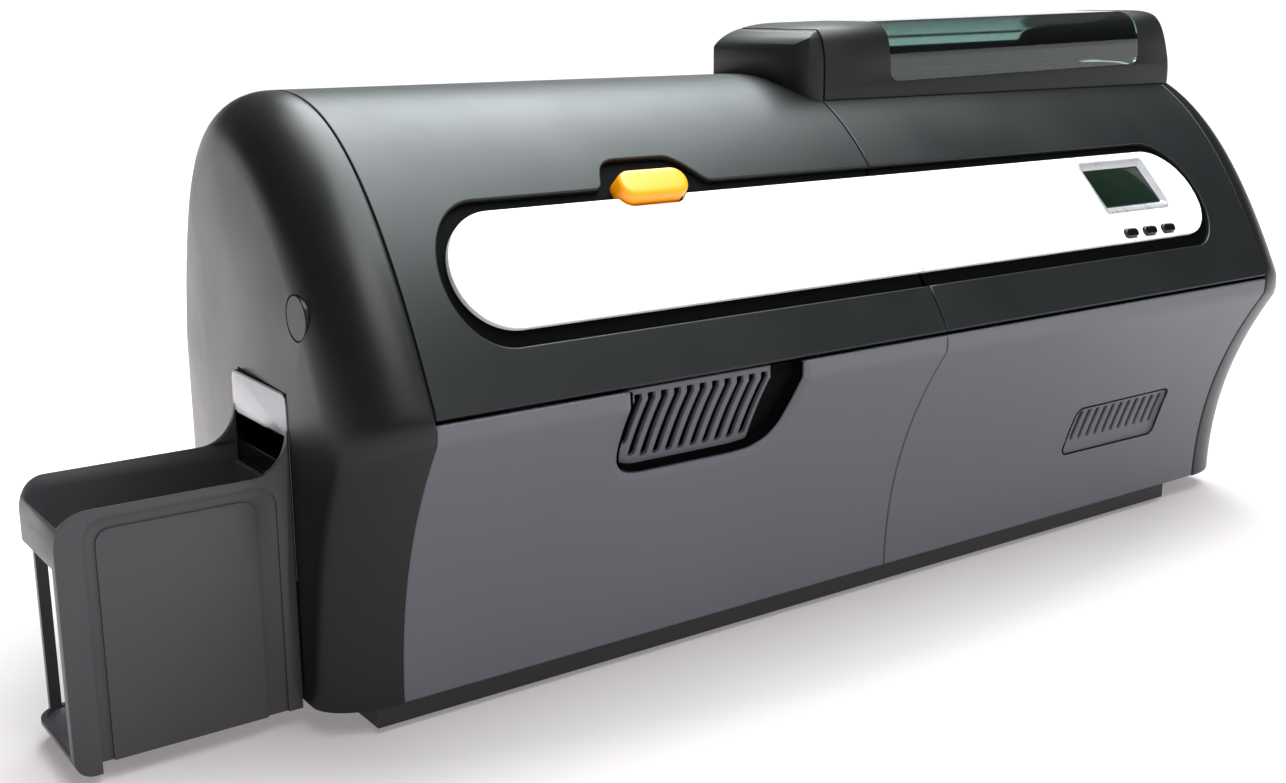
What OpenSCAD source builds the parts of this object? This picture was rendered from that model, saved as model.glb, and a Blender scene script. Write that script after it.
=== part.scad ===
// Desktop card printer: a long low casing with a domed section, a hinged print cover with a
// release button, a hooded card feeder at the right and a lift-off output hopper at the left.
// Millimetres, +Z up, X along the casing, the front faces -Y. The origin lies on the table
// under the middle of the whole printer. Inside the modules, x runs from the left end cap's
// seam, y from the front-most line of the casing and z from the table.

/* [Casing] */
// Distance between the seams of the two end caps
mid_w = 563; // [500:1:640]
// Depth of the casing, front to rear
body_d = 272; // [262:1:300]
// Height at which the dome starts, front and rear
belt_z = 147.5; // [142:0.5:154]
// Rise of the dome above the belt
dome_rise = 122; // [114:1:132]
// Exponent of the dome's curve: 2 is a parabola, larger is boxier
dome_power = 2.3; // [2.1:0.1:2.6]
// Height of the lower edge of the panels
skirt_z = 12; // [10:0.5:16]
// How far the front panels tuck in at their foot
tuck = 38.5; // [30:0.5:44]
// Height of the upright nose under the belt
nose_h = 10.5; // [6:0.5:14]
// Wall of the casing parts
wall = 2.6; // [2.2:0.1:3]
// Gap at the seams between casing parts
seam = 0.5; // [0.3:0.1:0.8]
// Gap between the belt and the lower panels
belt_gap = 2.4; // [1.5:0.1:4]

/* [End caps] */
// Depth of an end cap at the front
cap_l = 34; // [28:1:42]
// Depth of an end cap at the rear
cap_rear = 4; // [3:0.5:8]
// How far the cap's rounded edge draws the section in
cap_round = 28; // [20:1:34]
// Diameter of the round plug in the left cap
plug_d = 19; // [14:1:24]

/* [Print cover] */
// Width of the print cover at the belt
cover_w = 289; // [270:1:300]
// How much its right edge leans in towards the top
cover_lean = 10.5; // [6:0.5:14]
// Radius of the hinge barrels
barrel_r = 4.6; // [4:0.1:4.6]
// Radius of the hinge pins
pin_r = 2; // [1.5:0.1:2.4]
// Running clearance of every pin, shaft and axle
run_c = 0.05; // [0.02:0.01:0.08]

/* [Fascia band] */
// Lower edge of the white band
band_z0 = 176; // [170:1:180]
// Upper edge of the white band
band_z1 = 221.4; // [212:0.2:223]
// Left end of the band
band_x0 = 24.5; // [15:0.5:40]
// Distance of the band's right end from the right seam
band_in = 39.5; // [30:0.5:60]
// How far the band stands proud of the cover
band_proud = 0.6; // [0:0.1:1]
// Groove round the band at its sides and top
groove = 4.6; // [3:0.1:5.5]
// Groove under the band
groove_low = 6.6; // [4:0.1:8]

/* [Release button] */
// Middle of the button along the casing
button_x = 139; // [110:1:180]
// Length of the button
button_l = 38; // [30:1:44]
// Width of the button up the slope
button_w = 15; // [12:0.5:16]
// Travel of the button
button_travel = 3; // [2:0.5:4]

/* [Display and keys] */
// Distance of the display recess's left edge from the right seam
lcd_in = 128; // [123:1:143]
// Length of the display glass
lcd_w = 49; // [40:1:52]
// Height of the display glass up the slope
lcd_h = 24; // [18:1:26]
// Width of the sloping frame round the glass
lcd_frame = 4.5; // [3:0.5:5]
// Length of a key
key_l = 10; // [9:0.5:13]
// Pitch of the keys
key_pitch = 16.8; // [16:0.1:18]
// Travel of a key
key_travel = 0.8; // [0.5:0.1:0.9]

/* [Vents] */
// Left edge of the large louvre's recess
vent_x = 97; // [80:1:120]
// Length of the large louvre's recess
vent_l = 96.5; // [85:0.5:110]
// Height of the large louvre's recess
vent_h = 45; // [36:1:52]
// Number of slots in each louvre
slot_n = 11; // [7:1:11]
// Width of a slot
slot_w = 3.4; // [2:0.1:4]
// Distance of the small louvre's left edge from the right seam
small_in = 128; // [123:1:153]
// Length of the small louvre
small_l = 78; // [72:1:90]
// Height of the small louvre
small_h = 29; // [22:1:34]

/* [Feeder hood] */
// How far the hood's left end reaches over the print cover
hood_over = 16; // [13:0.5:24]
// Distance of the hood's right end from the right seam, inwards
hood_in = -10; // [-12:1:6]
// Front foot of the hood
hood_y0 = 85; // [80:1:90]
// Depth of the hood
hood_d = 76; // [70:1:84]
// Height of the hood above the top of the dome
hood_rise = 32.5; // [27:0.5:40]
// How far the hood's top drops from its right end to its left end
hood_drop = 6.5; // [0:0.5:8]
// Wall of the hood
hood_wall = 2.2; // [1.8:0.1:2.6]
// Distance of the window from the lid's left edge
window_in = 46.5; // [40:0.5:80]
// Distance of the window from the lid's right end
window_end = 36; // [20:0.5:40]
// Height of the window, down from the hood's top
window_h = 31.5; // [26:0.5:36]
// Length of the window's part that wraps over the rear shoulder
window_back_l = 184; // [120:1:200]

/* [Output hopper] */
// How far the hopper reaches out from the left cap
hopper_l = 98; // [92:1:120]
// Front wall of the hopper
hopper_y = 67.5; // [64:0.5:68]
// Height of the hopper's rim
hopper_rim = 115.7; // [108:0.5:117]
// Underside of the hopper
hopper_z0 = 4; // [3:0.5:8]
// Wall of the hopper
hopper_wall = 2.5; // [2:0.1:3]
// Height of the slot plate's top
plate_top = 149.5; // [146:0.5:156]
// How far the hopper lifts off its hooks
lift = 8; // [6:0.5:9]

/* [Cards] */
// Length of a card
card_l = 85.6; // [80:0.1:90]
// Width of a card
card_w = 54; // [50:0.1:56]
// Height of the card path
path_z = 126; // [124:0.5:127]
// Height of the stack of cards in the feeder
stack_h = 76; // [20:1:84]

/* [Chassis] */
// Thickness of the chassis plates
plate_t = 2; // [1.5:0.1:2.5]
// Height of the chassis plates' tops
plate_h = 190; // [180:1:200]
// Radius of the roller shafts
shaft_r = 3; // [2.5:0.1:3.5]
// Radius of the transport rollers
roller_r = 7; // [6:0.1:8]
// Radius of the platen roller
platen_r = 9; // [8:0.1:10]
// Radius of the pulleys on the rollers
pulley_r = 8; // [7:0.1:9]
// Thickness of the base tray's sheet
tray_t = 2; // [1.5:0.1:2.5]
// Height of the rubber feet
foot_h = 3; // [2:0.5:5]
// Radius of the rubber feet
foot_r = 9; // [7:0.5:12]
// Side of the cooling fan
fan_w = 60; // [50:1:62]

/* [Hidden] */
$fn = 48;

// Overall frame
hopper_x0 = -cap_l - hopper_l;
shift_x = -(hopper_x0 + mid_w + cap_l) / 2;
shift_y = -body_d / 2;

// Small clearances and steps
contact = 0.3;       // gap between pieces that move past each other
skin_gap = 0.1;      // gap between skins that lie on each other
fit_c = 0.4;         // gap round a piece set into an opening
lap = 0.8;           // how far the cover's edge is set back on its inside
far = 400;           // longer than any cut
dome_n = 40;         // steps along the dome
tuck_n = 10;         // steps down the tucked-in front
tuck_power = 2.15;   // how fast the front turns upright towards its foot
cap_n = 6;           // steps round the cap's edge

// Heights that follow the belt
panel_top = belt_z - belt_gap;
rear_top = belt_z - belt_gap - 2;
tray_z = foot_h;
tray_floor = tray_z + tray_t;
hinge_y = body_d - barrel_r - 0.6;
hinge_z = belt_z + 2.5;
lean_z = belt_z + 76;
cover_top_w = cover_w - cover_lean;
hood_x0 = cover_top_w - hood_over;
hood_top = belt_z + dome_rise + hood_rise;
lcd_x = mid_w - lcd_in;
small_x = mid_w - small_in;

// Card path
path_y = hopper_y + 30;
card_gap = 0.5;
side_l = path_y - card_w / 2 - card_gap;
side_r = path_y + card_w / 2 + card_gap;
plate_y0 = side_l - 4 - plate_t;
plate_y1 = side_r + 5;
drive_y = plate_y1 + plate_t + 2;
drive_w = 8;

// ---- Section of the casing, as [y, z] points, clockwise seen from the right ----
function dome_u(y) = 1 - 2 * y / body_d;
function dome_z(y) = belt_z + dome_rise * (1 - pow(abs(dome_u(y)), dome_power));
function dome_slope(y) =
    sign(dome_u(y)) * dome_rise * dome_power * 2 / body_d * pow(abs(dome_u(y)), dome_power - 1);
function slope_angle(y) = atan(dome_slope(y));
function dome_y(z) = body_d / 2 * (1 - pow(1 - (z - belt_z) / dome_rise, 1 / dome_power));
dome = [for (i = [0:dome_n]) let (y = body_d / 2 * (1 - cos(180 * i / dome_n))) [y, dome_z(y)]];

function tuck_y(z) = z > belt_z - nose_h ? 0
    : tuck * (1 - pow((z - skirt_z) / (belt_z - nose_h - skirt_z), tuck_power));
function front(top) = [for (i = [0:tuck_n])
    let (z = skirt_z + (top - skirt_z) * i / tuck_n) [tuck_y(z), z]];

// Points moved inwards by t, along the normals of an open clockwise path
function inward(p, t) = [for (i = [0:len(p) - 1])
    let (a = p[max(i - 1, 0)], b = p[min(i + 1, len(p) - 1)], d = (b - a) / norm(b - a))
    p[i] + t * [d[1], -d[0]]];
function backwards(p) = [for (i = [len(p) - 1:-1:0]) p[i]];
function layer(p, t0, t1) = concat(inward(p, t0), backwards(inward(p, t1)));
section = concat(front(belt_z - nose_h), dome, [[body_d, skirt_z]]);

// ---- Helpers ----
module place() translate([shift_x, shift_y, 0]) children();
// Runs a [y, z] shape along the casing
module along(x0, x1) translate([x0, 0, 0]) rotate([90, 0, 90]) linear_extrude(x1 - x0) children();
// Pushes an [x, z] shape from y0 to y1
module through(y0, y1) translate([0, y1, 0]) rotate([90, 0, 0]) linear_extrude(y1 - y0) children();
// A box from two corners
module block(a, b) translate(a) cube(b - a);
// A round bar along y, and one along x
module bar_y(x, z, r, y0, y1) translate([x, y1, z]) rotate([90, 0, 0]) cylinder(r = r, h = y1 - y0);
module bar_x(y, z, r, x0, x1) translate([x0, y, z]) rotate([0, 90, 0]) cylinder(r = r, h = x1 - x0);
// Local frame on the dome's front: x along the casing, y up the slope, z outwards
module on_dome(x, y) translate([x, y, dome_z(y)]) rotate([slope_angle(y), 0, 0]) children();
// A flat shape with round corners, middle at the origin
module pill(l, w, r) {
    for (sx = [-1, 1], sy = [-1, 1])
        translate([sx * (l / 2 - r), sy * (w / 2 - r)]) circle(r);
    if (w > 2 * r) square([l, w - 2 * r], center = true);
    square([l - 2 * r, w], center = true);
}
// Everything left of the print cover's right edge, moved by g
module left_part(g) {
    through(-20, body_d / 2) polygon([[-far, 0], [cover_w + g, 0], [cover_w + g, belt_z],
        [cover_top_w + g, lean_z], [cover_top_w + g, far], [-far, far]]);
    block([-far, body_d / 2, 0], [cover_top_w + g, body_d + 20, far]);
}

// ---- Fascia outlines in [x, z] ----
band_mid = (band_z0 + band_z1) / 2;
band_x1 = mid_w - band_in;
function arc(x, z, rx, rz, a0, a1, n) =
    [for (i = [0:n]) let (a = a0 + (a1 - a0) * i / n) [x + rx * cos(a), z + rz * sin(a)]];
// Band with a round left end and a right end that is rounder at its top; g widens it
module band_outline(side, low, up) {
    hh = (band_z1 - band_z0) / 2;
    rx = hh * 1.18;
    top_r = hh * 1.45;
    low_r = hh * 0.8;
    mid_z = band_mid + (up - low) / 2;
    zh = hh + (up + low) / 2;
    z0 = band_z0 - low;
    z1 = band_z1 + up;
    x1 = band_x1 + side;
    top_rz = (z1 - z0) * 0.62;
    low_rz = (z1 - z0) * 0.36;
    polygon(concat(
        arc(band_x0 - side + rx, mid_z, rx, zh, 270, 90, 12),
        arc(x1 - top_r, z1 - top_rz, top_r, top_rz, 90, 0, 8),
        arc(x1 - low_r, z0 + low_rz, low_r, low_rz, 0, -90, 6)));
}
bump_l = button_l + 18;
bump_h = 15.4;
module channel_outline(g) {
    band_outline(groove + g, groove_low + g, groove + g);
    z = band_z1 + groove + g;
    polygon(concat([[button_x - bump_l / 2 - g, band_mid]],
        arc(button_x - bump_l / 2 + 8, z, 8 + g, bump_h * 0.6, 180, 130, 3),
        arc(button_x - bump_l / 2 + 19, z + bump_h * 0.45, 11, bump_h * 0.55, 130, 90, 4),
        arc(button_x + bump_l / 2 - 22, z + bump_h * 0.45, 13, bump_h * 0.55, 90, 40, 4),
        [[button_x + bump_l / 2 + 2 + g, z - 0.5], [button_x + bump_l / 2 + g, band_mid]]));
}
tray_depth = wall + 2;
button_y = dome_y(band_z1 + 3.4);
// The opening the button works through; g widens it
module button_hole(g) on_dome(button_x, button_y) translate([0, 0, -14])
    linear_extrude(26) pill(button_l + 2 * g, button_w + 2 * g, button_w / 2 + g);

// ---- Fixed casing ----
tray_x0 = -12;
tray_x1 = mid_w - 28;
tray_y0 = tuck + 1.5;
tray_y1 = body_d - 10;
module base_tray() color("#161616") place() difference() {
    block([tray_x0, tray_y0, tray_z], [tray_x1, tray_y1, skirt_z]);
    block([tray_x0 + tray_t, tray_y0 + tray_t, tray_floor],
        [tray_x1 - tray_t, tray_y1 - tray_t, skirt_z + 1]);
}
module rubber_feet() color("#222222") place()
    for (x = [tray_x0 + 42, tray_x1 - 17], y = [tray_y0 + 20, tray_y1 - 30])
        translate([x, y, 0]) cylinder(r = foot_r, h = foot_h);

// Depth of an end cap at y: full at the front, drawn in towards the rear
function cap_depth(y, d) = d - (cap_l - cap_rear) * pow(max(0, y - 20) / (body_d - 20), 2.5);
section_h = belt_z + dome_rise - skirt_z;
// One ring of the cap: the section drawn in by t and shrunk by k, raised by up, at share s of depth d
function cap_ring(t, s, d, k, up) = [for (p = section)
    let (y = body_d / 2 + (p[0] - body_d / 2) * (1 - 2 * t / body_d) * k,
         z = skirt_z + up + (p[1] - skirt_z) * (1 - (t + up) / section_h) * k)
    [-cap_depth(y, d) * s, y, z]];
// All rings of one skin, t inside the outer one, from the seam to the middle of the end face
function cap_rings(t) = let (r = cap_round - t, d = cap_l - t) concat(
    [for (k = [0:cap_n]) cap_ring(t + r * (1 - cos(90 * k / cap_n)), sin(90 * k / cap_n), d, 1, t)],
    [for (k = [0.66, 0.33, 0]) cap_ring(t + r, 1, d, k, t)]);
module cap_shell() {
    n = len(section);
    m = cap_n + 4;
    outer = cap_rings(0);
    inner = cap_rings(wall);
    points = [for (rings = [outer, inner]) each [for (k = [0:m - 2]) each rings[k]]];
    tips = [outer[m - 1][0], inner[m - 1][0]];
    half = (m - 1) * n;
    function skin(o, flip) = [for (k = [0:m - 3], i = [0:n - 1])
        let (j = (i + 1) % n, a = o + k * n, b = a + n)
        each flip ? [[a + i, a + j, b + i], [a + j, b + j, b + i]]
                  : [[a + i, b + i, a + j], [a + j, b + i, b + j]]];
    faces = concat(
        skin(0, false), skin(half, true),
        [for (i = [0:n - 1]) let (j = (i + 1) % n, a = half - n) [a + i, 2 * half, a + j]],
        [for (i = [0:n - 1]) let (j = (i + 1) % n, a = 2 * half - n) [a + i, a + j, 2 * half + 1]],
        [for (i = [0:n - 1]) let (j = (i + 1) % n)
            each [[i, j, half + i], [j, half + j, half + i]]]);
    polyhedron(concat(points, tips), faces);
}
bezel_y0 = hopper_y - contact;
bezel_y1 = 2 * path_y - bezel_y0;
bezel_z0 = 66;
plug_y = hopper_y - 14.5;
plug_z = plate_top + 34.5;
plug_x = -cap_depth(plug_y, cap_l);
module left_end_cap() color("#3b3e41") place() difference() {
    cap_shell();
    block([-far, bezel_y0, bezel_z0], [-12, bezel_y1, plate_top + contact]);
    bar_x(plug_y, plug_z, plug_d / 2 + contact, -far, 0);
}
module right_end_cap() color("#333639") place() translate([mid_w, 0, 0]) mirror([1, 0, 0]) cap_shell();
module side_plug() color("#36393c") place() bar_x(plug_y, plug_z, plug_d / 2, plug_x + 0.3, plug_x + wall);

module front_skin(x0, x1) along(x0, x1) polygon(layer(front(panel_top), 0, wall));
vent_z0 = panel_top - vent_h;
vent_r = 12;
// The large louvre's recess: open at the top, round at its lower corners; g widens it
module vent_outline(g) polygon(concat([[vent_x - g, far]],
    arc(vent_x + vent_r, vent_z0 + vent_r * 0.7, vent_r + g, vent_r * 0.7 + g, 180, 270, 6),
    arc(vent_x + vent_l - 1.5 * vent_r, vent_z0 + vent_r, 1.5 * vent_r + g, vent_r + g, -90, 0, 6),
    [[vent_x + vent_l + g, far]]));
module front_panel_left() color("#5b5c62") place() difference() {
    front_skin(seam / 2, cover_w - seam / 2);
    through(-20, tuck + 20) vent_outline(0);
}
module vent_grille() color("#2c2d30") place() difference() {
    intersection() {
        along(vent_x - 6, vent_x + vent_l + 6) polygon(layer(front(panel_top), wall, wall + 2));
        through(-20, tuck + 20) vent_outline(3);
    }
    for (i = [0:slot_n - 1]) through(-20, tuck + 20)
        translate([vent_x + 6 + i * (slot_w + 3.2), vent_z0 + 8]) square([slot_w, vent_h - 12]);
}
small_z0 = 50;
module front_panel_right() color("#606167") place() difference() {
    front_skin(cover_w + seam / 2, mid_w - seam / 2);
    for (i = [0:slot_n - 1]) through(-20, tuck + 20)
        translate([small_x + 4 + i * (small_l - 8) / slot_n, small_z0])
            polygon([[0, 0], [slot_w, 0], [slot_w + 3, small_h - 4], [3, small_h - 4]]);
}

inlet_x = mid_w - 93;
inlet_w = 28;
inlet_z = 34;
inlet_h = 24;
switch_x = mid_w - 51;
switch_w = 16;
switch_h = 24;
board_x = 60;
board_y = body_d - wall - 17;
usb_x = 100;
usb_w = 13;
usb_z = 50;
usb_h = 11;
net_x = 140;
net_w = 16;
net_h = 14;
fan_x = mid_w - 218;
fan_z = 40;
fan_t = 15;
// Square-cornered opening in the rear panel for a piece of w by h
module rear_cut(x, z, w, h) block([x - fit_c, body_d - wall - 1, z - fit_c],
    [x + w + fit_c, body_d + 1, z + h + fit_c]);
module rear_skin(x0, x1) block([x0, body_d - wall, skirt_z], [x1, body_d, rear_top]);
module rear_panel_left() color("#3f4145") place() difference() {
    rear_skin(seam / 2, cover_w - seam / 2);
    rear_cut(usb_x, usb_z, usb_w, usb_h);
    rear_cut(net_x, usb_z, net_w, net_h);
}
fan_slot = 4;
fan_pitch = 7;
module rear_panel_right() color("#3f4145") place() difference() {
    rear_skin(cover_w + seam / 2, mid_w - seam / 2);
    rear_cut(inlet_x, inlet_z, inlet_w, inlet_h);
    rear_cut(switch_x, inlet_z, switch_w, switch_h);
    for (i = [-3:3])
        let (c = fan_x + (fan_w - fan_slot) / 2 + i * fan_pitch,
             s = sqrt(pow(fan_w / 2 - 4, 2) - pow(i * fan_pitch, 2)))
        block([c, body_d - wall - 1, fan_z + fan_w / 2 - s],
            [c + fan_slot, body_d + 1, fan_z + fan_w / 2 + s]);
}

dome_skin = layer(dome, 0, wall);
lid_x0 = cover_top_w + 1;
lid_x1 = mid_w - hood_in;
window_x = lid_x0 + window_in;
window_l = lid_x1 - window_end - window_x;
feeder_x0 = window_x + 3;
feeder_x1 = window_x + window_l + 18;
feeder_y0 = hood_y0 + 7;
hood_y1 = hood_y0 + hood_d;
feeder_y1 = hood_y1 - 12;
ear_x = [lid_x0 + 30, lid_x1 - 40];
ear_w = 6;
knuckle_w = 14;
lid_axis_y = hood_y1 + 5.5;
lid_axis_z = dome_z(hood_y1) + 8;
lid_r = 4;
module right_top_cover() color("#2f3236") place() {
    difference() {
        along(0, mid_w - seam / 2) polygon(dome_skin);
        left_part(seam / 2);
        through(-20, body_d / 2) channel_outline(0);
        block([feeder_x0, feeder_y0, belt_z + 50], [feeder_x1, feeder_y1, far]);
    }
    // ears that carry the lid's pins, one each side of the knuckle
    for (x = ear_x, dx = [-ear_w - contact, knuckle_w + contact]) difference() {
        union() {
            bar_x(lid_axis_y, lid_axis_z, lid_r, x + dx, x + dx + ear_w);
            along(x + dx, x + dx + ear_w) polygon([[lid_axis_y - lid_r, lid_axis_z],
                [lid_axis_y + lid_r, lid_axis_z],
                [lid_axis_y + lid_r + 1, dome_z(lid_axis_y + lid_r) - 1],
                [lid_axis_y - lid_r, dome_z(lid_axis_y - lid_r) - 1]]);
        }
        bar_x(lid_axis_y, lid_axis_z, pin_r, x + dx - 1, x + dx + ear_w + 1);
    }
}

module band_skin(t0, t1) along(0, mid_w) polygon(layer([for (p = dome) if (p[0] < body_d / 2) p], t0, t1));
module channel_layer() intersection() {
    band_skin(wall + skin_gap, tray_depth);
    through(-20, body_d / 2) channel_outline(3);
}
module channel_right() color("#0d0d0e") place() difference() {
    channel_layer();
    left_part(seam / 2);
}
key_w = 5.5;
key_y = dome_y(band_z0 + 5.2);
key_x = [for (i = [0:2]) lcd_x + 15 + i * key_pitch];
lcd_y = dome_y(band_mid + 6.3);
lcd_lean = 3.6;      // how far the display's ends lean over half its height
// The display's outline, leaning to the right towards its foot; g widens it
module lcd_outline(g) polygon([[-lcd_lean - g, lcd_h / 2 + g],
    [lcd_w - lcd_lean + g, lcd_h / 2 + g], [lcd_w + lcd_lean + g, -lcd_h / 2 - g],
    [lcd_lean - g, -lcd_h / 2 - g]]);
module lcd_prism(g, t0, t1) on_dome(lcd_x + lcd_frame, lcd_y) translate([0, 0, -t1])
    linear_extrude(t1 - t0) lcd_outline(g);
module key_shape(g, i, t0, t1) on_dome(key_x[i], key_y) translate([0, 0, -t1])
    linear_extrude(t1 - t0) pill(key_l + 2 * g, key_w + 2 * g, 2);
module band_right() color("#f4f4f2") place() difference() {
    intersection() {
        band_skin(-band_proud, wall);
        through(-20, body_d / 2) band_outline(0, 0, 0);
    }
    left_part(seam / 2);
    lcd_prism(lcd_frame, -4, wall + 2);
    for (i = [0:2]) key_shape(0.35, i, -4, wall + 2);
}
module lcd_bezel() color("#c9cbcc") place() difference() {
    intersection() {
        band_skin(0.2, wall);
        lcd_prism(lcd_frame - 0.15, -4, wall + 2);
    }
    lcd_prism(0.15, -4, wall + 2);
}
module lcd_glass() color("#31503f") place() intersection() {
    band_skin(1.4, wall);
    lcd_prism(0, -4, wall + 2);
}
module menu_key(i) color("#101010") place() intersection() {
    band_skin(-1.5, wall - key_travel - 0.25);
    key_shape(0, i, -6, wall + 2);
}
module menu_key_1() menu_key(0);
module menu_key_2() menu_key(1);
module menu_key_3() menu_key(2);

// ---- Output bezel and hopper ----
slot_z0 = path_z - 8;
slot_z1 = path_z + 4;
bezel_x0 = -cap_l + 0.2;
hook_y = [side_l + 4, side_r - 10];
hook_w = 6;
hook_z = 88;
bezel_t = 2.5;
module output_bezel() color("#0c0c0d") place() difference() {
    block([bezel_x0, bezel_y0 + 0.1, bezel_z0 + 0.1], [-16, bezel_y1 - 0.1, plate_top + contact - 0.1]);
    block([bezel_x0 + bezel_t, bezel_y0 + 2.2, bezel_z0 + 2.2], [0, bezel_y1 - 2.2, plate_top - 2]);
    block([-far, side_l, slot_z0], [0, side_r, slot_z1]);
    for (y = hook_y) block([-far, y - contact, hook_z], [-20, y + hook_w + contact, hook_z + lift + 8]);
}
hopper_x1 = bezel_x0 - contact;
hopper_y1 = 2 * path_y - hopper_y;
throat = 18;         // how far the side walls rise at the casing
throat_r = 16;
rim_r = 14;
slot_top = 93;
hopper_corner = 14;     // round rear outer corner
hopper_foot = 11;       // length of the foot under the outer end
step_h = 4.5;
hopper_floor = hopper_z0 + step_h + hopper_wall;
// Side wall of the hopper in [x, z]: round at its outer top corner, rising at the casing
module hopper_side() polygon(concat(
    arc(hopper_x0 + 8, hopper_z0 + 8, 8, 8, 270, 180, 4),
    arc(hopper_x0 + rim_r, hopper_rim - rim_r, rim_r, rim_r, 180, 90, 6),
    arc(hopper_x1 - throat_r, hopper_rim + throat, throat_r, throat, 270, 360, 6),
    [[hopper_x1, hopper_z0 + step_h], [hopper_x0 + hopper_foot, hopper_z0 + step_h],
        [hopper_x0 + hopper_foot, hopper_z0]]));
// Plan of the hopper, drawn in by t
module hopper_plan(t) polygon(concat(
    arc(hopper_x0 + hopper_corner, hopper_y1 - hopper_corner, hopper_corner - t, hopper_corner - t, 180, 90, 8),
    [[hopper_x1 - t, hopper_y1 - t], [hopper_x1 - t, hopper_y + t], [hopper_x0 + t, hopper_y + t]]));
module output_hopper() color("#1d1e20") place() difference() {
    union() {
        difference() {
            intersection() {
                through(hopper_y - 1, hopper_y1 + 1) hopper_side();
                linear_extrude(far) hopper_plan(0);
            }
            // the inside, and the open top
            translate([0, 0, hopper_floor]) linear_extrude(far) hopper_plan(hopper_wall);
            // the mouth towards the card slot
            block([hopper_x1 - hopper_wall - 1, side_l, hopper_rim - 8], [0, side_r, far]);
        }
        // hooks: a neck through the bezel and a tip that hangs behind it
        for (y = hook_y) {
            block([hopper_x1 - 1, y, hook_z], [bezel_x0 + bezel_t + contact + 2, y + hook_w, hook_z + 6]);
            block([bezel_x0 + bezel_t + contact, y, hook_z - 7],
                [bezel_x0 + bezel_t + contact + 2, y + hook_w, hook_z + 6]);
        }
    }
    // finger slot in the outer end, open round the rear corner behind a thin post
    block([hopper_x0 - 1, hopper_y + 5, hopper_floor + 1], [hopper_x0 + 6, hopper_y1 + 1, slot_top]);
    block([hopper_x0 + 8.5, hopper_y1 - hopper_wall - 2, hopper_floor + 1],
        [hopper_x0 + 22, hopper_y1 + 1, slot_top]);
    // dip in the rim of the outer end
    block([hopper_x0 - 1, hopper_y + 14, hopper_rim - 9],
        [hopper_x0 + hopper_wall + 1, hopper_y1 - 14, far]);
    // shallow recessed panel on the front wall
    block([hopper_x0 + 14, hopper_y - 1, hopper_z0 + 4], [hopper_x1 - 13, hopper_y + 0.8, hopper_rim - 6]);
}

// ---- Chassis ----
plate_x0 = 10;
plate_x1 = mid_w - 63;
platen_x = 130;
pick_x = mid_w - 133;
roller_x = [for (i = [48, 32, 17]) platen_x + (pick_x - platen_x) * i / 60];
roller_z = path_z - roller_r - contact;
platen_z = path_z - platen_r - contact;
pick_r = 10;
pick_z = path_z + 4 - pick_r;
motor_x = (roller_x[0] + roller_x[1]) / 2;
motor_z = 62;
motor_w = 42;
motor_shaft_r = 2.5;
spool_x = [85, 205];
spool_z = path_z + 49;
arm_x = 186;
arm_z = path_z + 26;
arm_r = 2.5;
module shaft_hole(x, z, r) bar_y(x, z, r + run_c, -far, far);
module shaft_holes() {
    for (x = roller_x) shaft_hole(x, roller_z, shaft_r);
    shaft_hole(platen_x, platen_z, shaft_r);
    shaft_hole(pick_x, pick_z, shaft_r);
    shaft_hole(arm_x, arm_z, arm_r);
}
module chassis_plate(y, flange) {
    block([plate_x0, y, tray_floor], [plate_x1, y + plate_t, path_z + 24]);
    block([plate_x0 + 30, y, path_z + 23], [feeder_x0 - 30, y + plate_t, plate_h]);
    block([plate_x0, min(y, y + flange), tray_floor], [plate_x1, max(y, y + flange), tray_floor + plate_t]);
}
tie_x = [40, 250, mid_w - 93];
tie_z = 40;
tie_r = 4;
module chassis_front_plate() color("#b9bcc0") place() difference() {
    chassis_plate(plate_y0, -8);
    shaft_holes();
    for (x = spool_x) bar_y(x, spool_z, supply_r + 4, -far, far);
    block([60, -far, path_z + 30], [spool_x[1] + 20, plate_y0 + 10, far]);
}
module chassis_rear_plate() color("#b9bcc0") place() difference() {
    chassis_plate(plate_y1, 10);
    shaft_holes();
    for (x = spool_x) shaft_hole(x, spool_z, shaft_r);
    shaft_hole(motor_x, motor_z, motor_shaft_r + 2);
}
module chassis_tie_bars() color("#a7aaae") place()
    for (x = tie_x, z = [tie_z, tie_z + 45]) bar_y(x, z, tie_r, plate_y0 + plate_t, plate_y1);
module chassis_screws() color("#d0d2d4") place() {
    for (x = tie_x, z = [tie_z, tie_z + 45]) {
        bar_y(x, z, 3.2, plate_y0 - 2, plate_y0);
        bar_y(x, z, 3.2, plate_y1 + plate_t, plate_y1 + plate_t + 2);
    }
    for (x = [for (t = tie_x) t - 10]) {
        translate([x, plate_y0 - 4, tray_floor + plate_t]) cylinder(r = 3, h = 2);
        translate([x, plate_y1 + 6, tray_floor + plate_t]) cylinder(r = 3, h = 2);
    }
}
rail_t = 2;
rail_lap = 3;
module card_guides() color("#3a3c3f") place() {
    block([plate_x0, plate_y0 + plate_t, path_z - rail_t], [pick_x - 30, side_l + rail_lap, path_z]);
    block([plate_x0, side_r - rail_lap, path_z - rail_t], [pick_x - 30, plate_y1, path_z]);
}

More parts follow.
